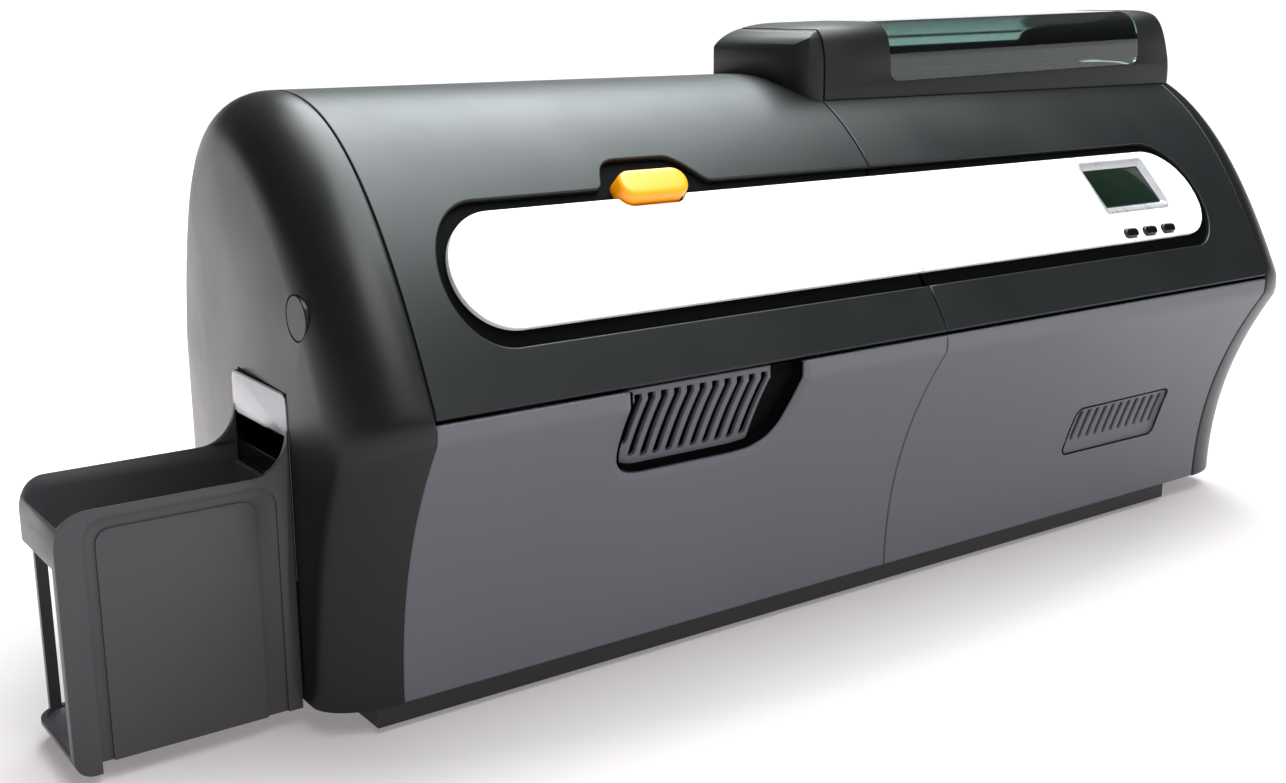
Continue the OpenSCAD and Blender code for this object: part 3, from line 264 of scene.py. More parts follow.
def sown(borders, step, fine):
    """Grid points between the borders, denser in the fine areas, none close to a border."""
    every = np.concatenate(borders)
    lo, hi = every.min(0), every.max(0)
    grid = crossings(*(np.linspace(lo[k], hi[k], max(2, int((hi[k] - lo[k]) / step[k])) + 1)
                       for k in (0, 1)))
    spread = np.full(len(grid), 0.5 * step[1])
    for x0, x1, s0, s1, small in fine:
        out = ((grid < (x0, s0)) | (grid > (x1, s1))).any(1)
        more = crossings(np.arange(x0, x1, small), np.arange(s0, s1, small))
        grid = np.concatenate([grid[out], more])
        spread = np.concatenate([spread[out], np.full(len(more), 0.45 * small)])
    keep = inside(grid, borders)
    grid, spread = grid[keep], spread[keep]
    near = np.array([np.min(np.hypot(*(every - g).T)) for g in grid])
    return grid[near > spread]


def quads(rows, n, first=0, closed=True):
    """Faces between rows of n points each."""
    return [(a + i, a + (i + 1) % n, a + n + (i + 1) % n, a + n + i)
            for a in range(first, first + (rows - 1) * n, n) for i in range(n if closed else n - 1)]


def inside(points, loops):
    """Whether each point lies in the area that the loops enclose, holes left out."""
    hit = np.zeros(len(points), bool)
    px, py = points[:, 0], points[:, 1]
    for loop in loops:
        for (x0, y0), (x1, y1) in zip(loop, np.roll(loop, -1, axis=0)):
            if y0 != y1:
                hit ^= ((y0 > py) != (y1 > py)) & (px < (x1 - x0) * (py - y0) / (y1 - y0) + x0)
    return hit


# ---- Meshes ----

def smooth_but_for(mesh, crease):
    """Shades a mesh smooth, but for edges sharper than crease, in degrees."""
    mesh.polygons.foreach_set("use_smooth", [True] * len(mesh.polygons))
    if crease is not None:
        mesh.set_sharp_from_angle(angle=math.radians(crease))


def piece(name, points, faces, material, normals=None, crease=35.0):
    """A new mesh object from points of the maker's plan, smooth but for its creases."""
    mesh = bpy.data.meshes.new(name)
    mesh.from_pydata([tuple(p) for p in to_row(points)], [], [tuple(int(i) for i in f) for f in faces])
    mesh.validate()
    smooth_but_for(mesh, crease if normals is None else None)
    if normals is not None:
        mesh.normals_split_custom_set_from_vertices([tuple(n) for n in normals])
    mesh.materials.append(material)
    thing = bpy.data.objects.new(name, mesh)
    bpy.context.scene.collection.objects.link(thing)
    return thing


class Profile:
    """A section of the casing, a path of [y, z] points with the outside on its left."""

    def __init__(self, path):
        self.path = np.asarray(path, float)
        self.s = lengths(self.path)
        self.t = unit(np.gradient(self.path, self.s, axis=0))
        self.length = self.s[-1]

    def at(self, s):
        """Point, direction along the path and outward normal at length s, as [x, y, z] rows."""
        y, z, ty, tz = (np.interp(s, self.s, k) for k in (*self.path.T, *self.t.T))
        size, zero = np.hypot(ty, tz), np.zeros_like(y)
        ty, tz = ty / size, tz / size
        return tuple(np.stack([zero, *v], -1) for v in ((y, z), (ty, tz), (-tz, ty)))

    def length_at(self, z):
        """Length along the path at height z, on its front half."""
        top = int(np.argmax(self.path[:, 1]))
        return np.interp(z, self.path[:top + 1, 1], self.s[:top + 1])


def skin(name, profile, loops, material, thick=WALL, edge=0.8, lift=None, base=0.0,
         step=(9.0, 4.0), fine=()):
    """A moulded sheet on a profile: outlines in x and length, rounded over along its outer edge.

    lift gives the height of the surface over the profile; fine lists x0, x1, s0, s1, step areas."""
    up = lift or (lambda x, s: np.zeros_like(x))

    def place(flat, depth):
        """Points of the surface or below it, with the surface's normals and directions upwards."""
        x, s = flat[:, 0], flat[:, 1]
        p, t, n = profile.at(s)
        e = 0.05
        dx = (up(x + e, s) - up(x - e, s)) / (2 * e)
        ds = (up(x, s + e) - up(x, s - e)) / (2 * e)
        nn = unit(n - dx[:, None] * np.array([1.0, 0, 0]) - ds[:, None] * t)
        p = p + n * (up(x, s) - base)[:, None] - nn * depth
        p[:, 0] += x
        return p, nn, t

    points, normals, faces = [], [], []

    def laid(p, n):
        """Adds points with their normals, and says at which number they start."""
        start = sum(map(len, points))
        points.append(p)
        normals.append(n)
        return start

    def ringed(loop, m, inset, depth, c, sn):
        """Adds a ring of the rounded edge, whose normals tilt outwards."""
        p, nn, t = place(loop + m * inset, depth)
        out = -(m[:, :1] * np.array([1.0, 0, 0]) + m[:, 1:] * t)
        return laid(p, unit(nn * c + out * sn))

    def fill(borders, starts, depth, flip):
        """Triangles between the borders, over a grid of points that follows the curve."""
        grid = sown(borders, step, fine)
        flat = np.concatenate(borders + [grid])
        edges, at = [], 0
        for b in borders:
            edges += [(at + i, at + (i + 1) % len(b)) for i in range(len(b))]
            at += len(b)
        verts, _, tris, orig, _, _ = delaunay_2d_cdt([Vector(p) for p in flat], edges, [], 0, 1e-4)
        verts = np.array([tuple(v) for v in verts])
        index = [o[0] if o else -1 for o in orig]
        if min(index) < 0:
            raise RuntimeError(f"{name}: an outline crosses itself")
        p, nn, _ = place(grid, depth)
        starts = [*starts, laid(p, -nn if flip else nn)]
        number = np.concatenate([np.arange(len(b)) + s for b, s in zip(borders + [grid], starts)])
        tris = np.array([t for t in tris if len(t) == 3])
        for t in tris[inside(verts[tris].mean(1), borders)]:
            f = [int(number[index[i]]) for i in t]
            faces.append(tuple(f if (area2(verts[t]) > 0) != flip else f[::-1]))

    dense = [spaced(turned(np.asarray(l, float), i == 0), step[1]) for i, l in enumerate(loops)]
    # rings from the surface over the rounded edge and down the side: inset, depth and tilt
    turn = [(a, math.cos(math.radians(a)), math.sin(math.radians(a))) for a in (0, 30, 60, 90)]
    rings = [(edge * (1 - sn), edge * (1 - c), c, sn) for _, c, sn in turn] + [(0.0, thick, *turn[-1][1:])]
    rims, starts = [], []
    for l in dense:
        m = inward(l)
        rims.append(l + m * edge)
        starts.append(min(ringed(l, m, *ring) for ring in rings))
        faces += [(a, d, c, b) for a, b, c, d in quads(len(rings), len(l), starts[-1])]
    fill(rims, starts, 0.0, False)
    # the inner face has rims of its own, so that its edge stays crisp
    starts = []
    for l in dense:
        p, nn, _ = place(l, thick)
        starts.append(laid(p, -nn))
    fill(dense, starts, thick, True)
    return piece(name, np.concatenate(points), faces, material, np.concatenate(normals))


def loft(name, rings, material, close=(False, False), crease=35.0):
    """A skin over closed rings of equal length, with its ends filled where asked."""
    m, n = len(rings), len(rings[0])
    faces = quads(m, n)
    if close[0]:
        faces.append(tuple(range(n - 1, -1, -1)))
    if close[1]:
        faces.append(tuple((m - 1) * n + i for i in range(n)))
    return piece(name, np.concatenate(rings), faces, material, crease=crease)


def prism(name, outline, axis, low, high, material):
    """A solid bar with the given outline, pushed along axis x, y or z."""
    flat = turned(np.asarray(outline, float), True)
    ends = (high, low) if axis == "y" else (low, high)
    rings = [np.insert(flat, "xyz".index(axis), d, axis=1) for d in ends]
    return loft(name, rings, material, (True, True))


def shaped(thing, other=None, how="DIFFERENCE", bevel=0.0, segments=3, angle=40.0):
    """Applies a cut, a union or a rounded edge to a piece."""
    if other is not None:
        m = thing.modifiers.new("cut", "BOOLEAN")
        m.operation, m.solver, m.object = how, "EXACT", other
    if bevel:
        m = thing.modifiers.new("edge", "BEVEL")
        m.width, m.segments, m.limit_method = bevel / 1000, segments, "ANGLE"
        m.angle_limit = math.radians(angle)
    bpy.context.view_layer.update()
    graph = bpy.context.evaluated_depsgraph_get()
    mesh = bpy.data.meshes.new_from_object(thing.evaluated_get(graph), depsgraph=graph)
    old = thing.data
    thing.modifiers.clear()
    thing.data = mesh
    bpy.data.meshes.remove(old)
    smooth_but_for(mesh, angle - 5)
    if other is not None:
        bpy.data.objects.remove(other)
    return thing


def joined(name, things):
    """One piece from several, with their materials kept."""
    out = bmesh.new()
    slots = []
    for thing in things:
        for m in thing.data.materials:
            if m not in slots:
                slots.append(m)
        before = len(out.faces)
        out.from_mesh(thing.data)
        out.faces.ensure_lookup_table()
        moved = [slots.index(m) for m in thing.data.materials]
        for f in out.faces[before:]:
            f.material_index = moved[f.material_index]
    mesh = bpy.data.meshes.new(name)
    out.to_mesh(mesh)
    out.free()
    for m in slots:
        mesh.materials.append(m)
    for thing in things:
        bpy.data.objects.remove(thing)
    thing = bpy.data.objects.new(name, mesh)
    bpy.context.scene.collection.objects.link(thing)
    mesh.set_sharp_from_angle(angle=math.radians(35))
    return thing


def stands_for(thing, body, node):
    """The piece rides on a body and stands in for a CAD node, which it hides."""
    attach(thing, body)
    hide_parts(node)


# ---- Sections of the casing ----

def front_path(top):
    z = np.append(np.arange(SKIRT_Z, top, 1.5), top)
    return np.stack([tuck_y(z), z], 1)


def dome_path(steps=260):
    y = BODY_D / 2 * (1 - np.cos(np.linspace(0, math.pi, steps + 1)))
    return np.stack([y, dome_z(y)], 1)


FRONT = Profile(front_path(PANEL_TOP))
DOME = Profile(dome_path())
REAR = Profile([[BODY_D, REAR_TOP], [BODY_D, SKIRT_Z]])


def dome_s(z):
    """Length up the dome's front to height z."""
    return DOME.length_at(z)


def dome_s_y(y):
    """Length over the dome to depth y."""
    return np.interp(y, DOME.path[:, 0], DOME.s)


def onto(profile, flat, height):
    """Points of [x, length] on a profile, raised by height."""
    p, _, n = profile.at(flat[:, 1])
    p = p + n * height
    p[:, 0] += flat[:, 0]
    return p


def up_dome(outline):
    """An outline in [x, z], as [x, length up the dome]."""
    o = np.asarray(outline, float)
    return np.stack([o[:, 0], dome_s(o[:, 1])], 1)


def cover_edge(z, gap):
    """The leaning edge between the two covers at height z on the front."""
    return COVER_W - COVER_LEAN * ((np.asarray(z) - BELT_Z) / (LEAN_Z - BELT_Z)).clip(0, 1) + gap


def depth_in(outline, x, s):
    """How far points lie inside a closed outline, below zero outside it."""
    p = np.stack([x, s], 1)
    a, b = outline, np.roll(outline, -1, axis=0)
    best = np.full(len(p), 1e9)
    for q, r in zip(a, b):
        d = r - q
        k = (((p - q) @ d) / max(float(d @ d), 1e-9)).clip(0, 1)
        best = np.minimum(best, np.hypot(*(p - q - k[:, None] * d).T))
    return np.where(inside(p, [outline]), best, -best)


def smooth(v, lo, hi):
    """A soft step from 0 at lo to 1 at hi."""
    t = ((v - lo) / (hi - lo)).clip(0, 1)
    return t * t * (3 - 2 * t)


# ---- Outlines of the fascia, in [x, z] ----

HALF = (BAND_Z1 - BAND_Z0) / 2
BAND_MID = (BAND_Z0 + BAND_Z1) / 2


def band_left_end(side, low, up):
    """The round left end, from below to above."""
    rx = HALF * 1.18
    return arc(BAND_X0 - side + rx, BAND_MID + (up - low) / 2, rx, HALF + (up + low) / 2, 270, 90, 40)


def band_right_end(side, low, up):
    """The right end, rounder at its top, from above to below."""
    x1, z0, z1 = BAND_X1 + side, BAND_Z0 - low, BAND_Z1 + up
    top_r, low_r = HALF * 1.45, HALF * 0.8
    top_rz, low_rz = (z1 - z0) * 0.62, (z1 - z0) * 0.36
    return np.concatenate([arc(x1 - top_r, z1 - top_rz, top_r, top_rz, 90, 0, 24),
                           arc(x1 - low_r, z0 + low_rz, low_r, low_rz, 0, -90, 16)])


def bump(g):
    """The raised part of the groove over the button, from left to right."""
    z = BAND_Z1 + GROOVE + g
    x = BUTTON_X
    path = [[x - 33 - g, z], [x - 25 - g, z], [x - 22.5 - g, z + 6], [x - 19.5, z + 10 + g],
            [x - 14, z + 11.5 + g], [x + 18, z + 11.5 + g], [x + 25 + g, z + 8], [x + 35 + g, z],
            [x + 42 + g, z]]
    return softened(path, 2.2)


def groove_left(g, gap):
    """The groove's edge in the print cover, from the cover's edge below to its edge above."""
    end = band_left_end(GROOVE + g, GROOVE_LOW + g, GROOVE + g)
    z0, z1 = end[0, 1], end[-1, 1]
    first, last = ([[cover_edge(z, gap), z]] for z in (z0, z1))
    return np.concatenate([first, end, bump(g), last])


def groove_right(g, gap):
    """The groove's edge in the right cover, from the cover's edge above to its edge below."""
    end = band_right_end(GROOVE + g, GROOVE_LOW + g, GROOVE + g)
    z1, z0 = end[0, 1], end[-1, 1]
    return np.concatenate([[[cover_edge(z1, gap), z1]], end, [[cover_edge(z0, gap), z0]]])


def edge_line(z0, z1, gap):
    """The leaning edge from height z0 to z1."""
    z = np.linspace(z0, z1, max(2, int(abs(z1 - z0) / 6) + 1))
    return np.stack([cover_edge(z, gap), z], 1)


# ---- Pieces made of plain solids ----

def bar(name, centre, radius, low, high, material, chamfer=0.0, n=48):
    """A turned bar along x."""
    a = np.linspace(0, 2 * math.pi, n, endpoint=False)
    ring = np.stack([np.cos(a), np.sin(a)], 1)
    steps = [(low, radius - chamfer), (low + chamfer, radius), (high - chamfer, radius),
             (high, radius - chamfer)]
    rings = [np.insert(ring * r + np.asarray(centre, float), 0, d, axis=1)
             for d, r in (steps if chamfer else steps[::3])]
    return loft(name, rings, material, (True, True))


def block(name, a, b, material):
    """A plain box, for cutting."""
    (x0, y0, z0), (x1, y1, z1) = a, b
    return prism(name, [[x0, y0], [x1, y0], [x1, y1], [x0, y1]], "z", z0, z1, material)


def cut_by(thing, *others):
    """Cuts the others out of a piece, one after the other."""
    for other in others:
        shaped(thing, other)
    return thing


# ---- Finishes ----

def add(tree, kind, values=(), links=(), **settings):
    """Adds a node with its settings, the values of its sockets and the links into it."""
    node = tree.nodes.new(kind)
    for key, value in settings.items():
        setattr(node, key, value)
    for key, value in dict(values).items():
        node.inputs[key].default_value = value
    for key, source in dict(links).items():
        tree.links.new(source, node.inputs[key])
    return node


def finish(name, colour, rough, grain=0.0, depth=0.0, mottle=0.03, drift=60.0, rough_drift=0.04,
           stretch=(1, 1, 1), **shader):
    """A finish: grain and drift are sizes in mm, depth is the grain's height in mm."""
    m = bpy.data.materials.new(name)
    m.use_nodes = True
    tree = m.node_tree
    tree.nodes.clear()
    out = add(tree, "ShaderNodeOutputMaterial")
    values = {"IOR": 1.5, **{k.replace("_", " "): v for k, v in shader.items()}}
    shade = add(tree, "ShaderNodeBsdfPrincipled", values)
    tree.links.new(shade.outputs["BSDF"], out.inputs["Surface"])
    where = add(tree, "ShaderNodeTexCoord")
    base = linear(colour)[:3]
    # slow change of tone over the moulding, as flow and handling leave
    wide = add(tree, "ShaderNodeTexNoise", {"Scale": 1000 / drift, "Detail": 3.0, "Roughness": 0.6},
               {"Vector": where.outputs["Object"]})
    ramp = add(tree, "ShaderNodeValToRGB", links={"Fac": wide.outputs["Fac"]})
    for end, position, tone in zip(ramp.color_ramp.elements, (0.3, 0.7), (1 - mottle, 1 + mottle)):
        end.position, end.color = position, tuple(min(1, c * tone) for c in base) + (1,)
    tree.links.new(ramp.outputs["Color"], shade.inputs["Base Color"])
    gloss = add(tree, "ShaderNodeMapRange", {"From Min": 0.3, "From Max": 0.7, "To Min": rough - rough_drift,
                                             "To Max": rough + rough_drift}, {"Value": wide.outputs["Fac"]})
    tree.links.new(gloss.outputs["Result"], shade.inputs["Roughness"])
    if grain:
        spot = add(tree, "ShaderNodeMapping", {"Scale": stretch}, {"Vector": where.outputs["Object"]})
        fine = add(tree, "ShaderNodeTexNoise", {"Scale": 1000 / grain, "Detail": 2.0, "Roughness": 0.55},
                   {"Vector": spot.outputs["Vector"]})
        bumps = add(tree, "ShaderNodeBump", {"Strength": 1.0, "Distance": depth / 1000},
                        {"Height": fine.outputs["Fac"]})
        tree.links.new(bumps.outputs["Normal"], shade.inputs["Normal"])
    return m


def mat(name):
    return bpy.data.materials[name]


def make_finishes(c):
    """Every finish of the printer and of the table; c holds the colours a user may change."""
    # ABS, moulded against a fine satin texture: soft wide highlights, no mirror image
    finish("abs_moulded_satin", c.cover, 0.42, grain=0.7, depth=0.010, mottle=0.03, Specular_IOR_Level=0.35)
    # ABS of the end caps, smoother from the mould: a sharper sheen along the rounded edge
    finish("abs_moulded_charcoal", c.cap, 0.34, grain=0.7, depth=0.007, mottle=0.03, Specular_IOR_Level=0.3)
    # ABS, moulded against a spark-eroded texture and mid grey: nearly matt, a touch of sparkle
    finish("abs_moulded_spark_texture", c.panel, 0.46, grain=0.8, depth=0.014, mottle=0.025,
           Specular_IOR_Level=0.35)
    # ABS with a coarser spark-eroded texture: the hood reads flat and near black
    finish("abs_moulded_hood_texture", c.hood, 0.45, grain=0.9, depth=0.016, mottle=0.04,
           Specular_IOR_Level=0.3)
    # black ABS trim in the groove and between the slats
    finish("abs_moulded_black", "#040405", 0.6, grain=0.8, depth=0.008, mottle=0.06, Specular_IOR_Level=0.03)
    # black ABS from a polished mould: clear reflections
    finish("abs_polished_black", "#070708", 0.12, mottle=0.05, rough_drift=0.02)
    # the hopper's ABS, from a mould that is only stoned: semi-gloss
    finish("abs_stoned_black", c.hopper, 0.34, grain=1.1, depth=0.006, mottle=0.025, Specular_IOR_Level=0.35)
    # powder coat on steel: the fine orange peel of fused powder
    finish("powder_coat_black", "#0d0d0d", 0.5, grain=1.4, depth=0.03, mottle=0.05)
    # white overlay under a clear hard coat: clean and slightly glossy
    finish("polycarbonate_printed_white", c.band, 0.3, grain=0.9, depth=0.003, mottle=0.012, IOR=1.58)
    # silver lacquer on ABS: fine metal flake in a satin film
    finish("lacquer_silver", "#b6b7ba", 0.3, mottle=0.04, drift=9.0, Metallic=0.5)
    # orange-yellow ABS of the button, satin
    finish("abs_moulded_orange", c.button, 0.33, grain=0.7, depth=0.006, mottle=0.02)
    # reflective display under a clear lens: dark green liquid crystal, polished face
    finish("glass_display", "#0d1b13", 0.09, mottle=0.16, drift=14.0, rough_drift=0.02, IOR=1.52)
    # smoke-teal polycarbonate, moulded clear
    finish("polycarbonate_clear_teal", c.window, 0.05, mottle=0.02, rough_drift=0.01, IOR=1.58,
           Transmission_Weight=1.0)
    # blank PVC cards, calendered smooth, their edges show as fine lines
    finish("pvc_calendered_white", "#ecece8", 0.3, grain=0.76, depth=0.05, mottle=0.02, stretch=(0.01, 0.01, 1))
    # nitrile feet and rollers, ground: soft, dusty, no gloss
    finish("rubber_ground", "#1c1c1d", 0.75, grain=0.6, depth=0.02, mottle=0.1)
    # zinc on steel sheet, rolled: pale blue-grey with a long grain
    finish("steel_zinc_plated", "#a9adb2", 0.36, grain=1.6, depth=0.004, mottle=0.06, stretch=(0.1, 1, 1),
           Metallic=1.0)
    # ground steel pins
    finish("steel_ground", "#c3c6c9", 0.22, grain=0.5, depth=0.002, mottle=0.04, Metallic=1.0)
    # anodised aluminium of the print head's heat sink, brushed
    finish("aluminium_anodised", "#8a7c5c", 0.4, grain=1.0, depth=0.004, mottle=0.05, stretch=(0.08, 1, 1),
           Metallic=1.0)
    # turned brass
    finish("brass_turned", "#c2a257", 0.25, grain=0.6, depth=0.003, mottle=0.05, Metallic=1.0)
    # polyester ribbon wound tight: the edges of the turns show
    finish("polyester_ribbon_wound", "#20244f", 0.3, grain=0.8, depth=0.01, mottle=0.15, drift=20)
    # solder mask over copper tracks
    finish("solder_mask_green", "#1d5a37", 0.35, grain=1.6, depth=0.02, mottle=0.2, drift=6)
    # the table glows by itself: white far out, with a painted shadow round the machine
    glowing_floor = finish("floor_painted_glow", "#a29d9f", 0.6, grain=3.0, depth=0.01, mottle=0.004,
                  Emission_Color=linear("#fff8f9"))
    # painted shadow: the glow is dim near the machine and full further out
    tree = glowing_floor.node_tree
    spot = add(tree, "ShaderNodeTexCoord")
    near = add(tree, "ShaderNodeMapping", {"Scale": (1.4, 3.0, 0.0)}, {"Vector": spot.outputs["Object"]})
    far = add(tree, "ShaderNodeVectorMath", links={0: near.outputs["Vector"]}, operation="LENGTH")
    painted_glow = add(tree, "ShaderNodeMapRange", {"From Min": 0.5, "From Max": 1.15, "To Min": 0.25, "To Max": 1.0},
               {"Value": far.outputs["Value"]})
    shade = next(n for n in tree.nodes if n.bl_idname == "ShaderNodeBsdfPrincipled")
    tree.links.new(painted_glow.outputs["Result"], shade.inputs["Emission Strength"])


CAD_FINISH = {
    "powder_coat_black": ("base_tray",),
    "rubber_ground": ("rubber_feet", "drive_belt", "platen_roller", "pick_roller", "transport_roller_1",
                      "transport_roller_2", "transport_roller_3"),
    "steel_zinc_plated": ("chassis_front_plate", "chassis_rear_plate", "chassis_tie_bars", "chassis_screws",
                          "hinge_brackets", "latch_striker", "latch_lever", "rear_ports", "power_supply",
                          "transport_motor", "printhead_arm"),
    "steel_ground": ("cover_hinge_pins", "lid_hinge_pins"),
    "aluminium_anodised": ("printhead",),
    "brass_turned": ("drive_pulley",),
    "polyester_ribbon_wound": ("ribbon_supply_spool", "ribbon_takeup_spool"),
    "solder_mask_green": ("main_board",),
    "abs_moulded_black": ("card_guides", "card_cassette", "power_inlet", "switch_frame", "fan_housing",
                          "fan_rotor", "card_weight"),
    "abs_polished_black": ("power_switch",),
    "pvc_calendered_white": ("card_stack",),
}


# ---- Sizes and colours a user may change ----

def metres(name, description, default, low, high):
    return FloatProperty(name=name, description=description, default=default, min=low, max=high, unit="LENGTH")


def hex_code(name, description, default):
    return StringProperty(name=name, description=description, default=default)


class PrinterSizes(bpy.types.PropertyGroup):
    """Sizes of the visible skins, in metres."""

    edge: metres("Moulded edge", "Radius of the skins' outer edges", 0.0009, 0.0002, 0.002)
    lip: metres("Louvre lip", "Radius of the rolled lip round the large louvre", 0.0028, 0.001, 0.005)
    recess: metres("Louvre depth", "Depth of the large louvre's slats", 0.0062, 0.003, 0.01)
    slat: metres("Slat width", "Width of a slat of the large louvre", 0.0034, 0.002, 0.005)
    scoop: metres("Small louvre depth", "Depth of the dished area of the small louvre", 0.0014, 0.0, 0.003)
    slots: IntProperty(name="Slots", description="Slots in each louvre", default=11, min=5, max=15)
    band: metres("Band height", "How far the white band stands above the cover", 0.0006, 0.0, 0.001)


class PrinterColours(bpy.types.PropertyGroup):
    """Colours of the finishes, as sRGB hex codes."""

    cover: hex_code("Top covers", "Moulded colour of the top covers", "#0e1112")
    cap: hex_code("End caps", "Moulded colour of the end caps", "#0f0f0f")
    panel: hex_code("Front panels", "Moulded colour of the lower panels", "#58595f")
    hood: hex_code("Hood", "Moulded colour of the feeder hood", "#0e0e0e")
    hopper: hex_code("Hopper", "Moulded colour of the output hopper", "#3b3a3d")
    band: hex_code("Band", "Colour of the fascia band", "#f3f3f1")
    button: hex_code("Button", "Colour of the release button", "#f89c08")
    window: hex_code("Window", "Tint of the feeder window", "#b2cbc6")


def mm(value):
    return value * 1000


# ---- Operators ----

class PRINTER_OT_finishes(bpy.types.Operator):
    """Makes every finish and gives the working parts theirs"""

    bl_idname = "printer.finishes"
    bl_label = "Finishes"

    def execute(self, context):
        make_finishes(context.scene.printer_colours)
        for name, nodes in CAD_FINISH.items():
            for node in nodes:
                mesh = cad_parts[node].data
                mesh.materials.clear()
                mesh.materials.append(mat(name))
        return {"FINISHED"}


def cap_section():
    """The casing's section with its corners eased, closed along the bottom."""
    path = np.concatenate([front_path(NOSE_Z), [[0, NOSE_Z + 4]], dome_path(120), [[BODY_D, SKIRT_Z]]])
    path = even(softened(path, 1.8), 3.2)
    bottom = even([path[-1], path[0]], 6.0)[1:-1]
    return np.concatenate([path, bottom])


def cap_depth(y, d):
    """How far an end cap reaches out at depth y, if it reaches out d at the front."""
    return d - (CAP_FRONT - CAP_REAR) * ((y - 20).clip(0) / (BODY_D - 20)) ** 2.5


def cap_rings(section, t0):
    """Rings of a cap's skin that lies t0 inside the outer one, from the seam to the end face."""
    r, d = CAP_ROUND - t0, CAP_FRONT - t0
    rings = []
    turn = [(a, 1.0) for a in (1.3, 4, 8, *range(13, 91, 7), 90)]
    for a, k in turn + [(90, k) for k in (0.86, 0.6, 0.3, 0.03)]:
        t = t0 + r * (1 - math.cos(math.radians(a)))
        s = math.sin(math.radians(a))
        y = BODY_D / 2 + (section[:, 0] - BODY_D / 2) * (1 - 2 * t / BODY_D) * k
        z = SKIRT_Z + t0 + (section[:, 1] - SKIRT_Z) * (1 - (t + t0) / CASING_H) * k
        rings.append(np.stack([-cap_depth(y, d) * s, y, z], 1))
    return rings


def end_cap(name, mirrored, edge):
    """A hollow end cap, lofted from its inner end face out to the seam and on to the outer one."""
    section = cap_section()
    outer, inner = cap_rings(section, 0.0), cap_rings(section, WALL)
    rim = inner[0].copy()
    rim[:, 0] = 0.0
    # the seam's edge is eased: the section drawn in by the edge's radius
    soft = outer[0].copy()
    soft[:, 1] = BODY_D / 2 + (soft[:, 1] - BODY_D / 2) * (1 - 2 * edge / BODY_D)
    soft[:, 2] = SKIRT_Z + (soft[:, 2] - SKIRT_Z) * (1 - edge / CASING_H)
    soft[:, 0] = 0.0
    mid = soft * 0.3 + outer[0] * 0.7
    mid[:, 0] = -edge * 0.3
    rings = inner[::-1] + [rim, soft, mid] + outer
    if mirrored:
        rings = [r * np.array([-1, 1, 1]) + np.array([MID_W, 0, 0]) for r in rings[::-1]]
    return loft(name, rings, mat("abs_moulded_charcoal"), (True, True), crease=40)


class PRINTER_OT_end_caps(bpy.types.Operator):
    """Lofts the two rounded end caps, with the round plug in the left one"""

    bl_idname = "printer.end_caps"
    bl_label = "End caps"

    def execute(self, context):
        edge = mm(context.scene.printer_sizes.edge)
        black = mat("abs_moulded_charcoal")
        left = end_cap("end_cap_left", False, edge)
        y0, y1, z0, z1 = PLATE
        cut_by(left, block("cut", [-90, y0 - 0.1, z0 - 0.1], [-12, y1 + 0.1, z1 + 0.1], black),
               bar("cut", PLUG_AXIS, PLUG_R + PLAY, -90, -6, black, n=64))
        stands_for(left, "printer", "left_end_cap")
        stands_for(end_cap("end_cap_right", True, edge), "printer", "right_end_cap")
        x = -cap_depth(np.float64(PLUG_AXIS[0]), CAP_FRONT)
        plug = bar("plug", PLUG_AXIS, PLUG_R, x + PLAY, x + WALL, black, chamfer=0.35, n=64)
        stands_for(plug, "printer", "side_plug")
        return {"FINISHED"}


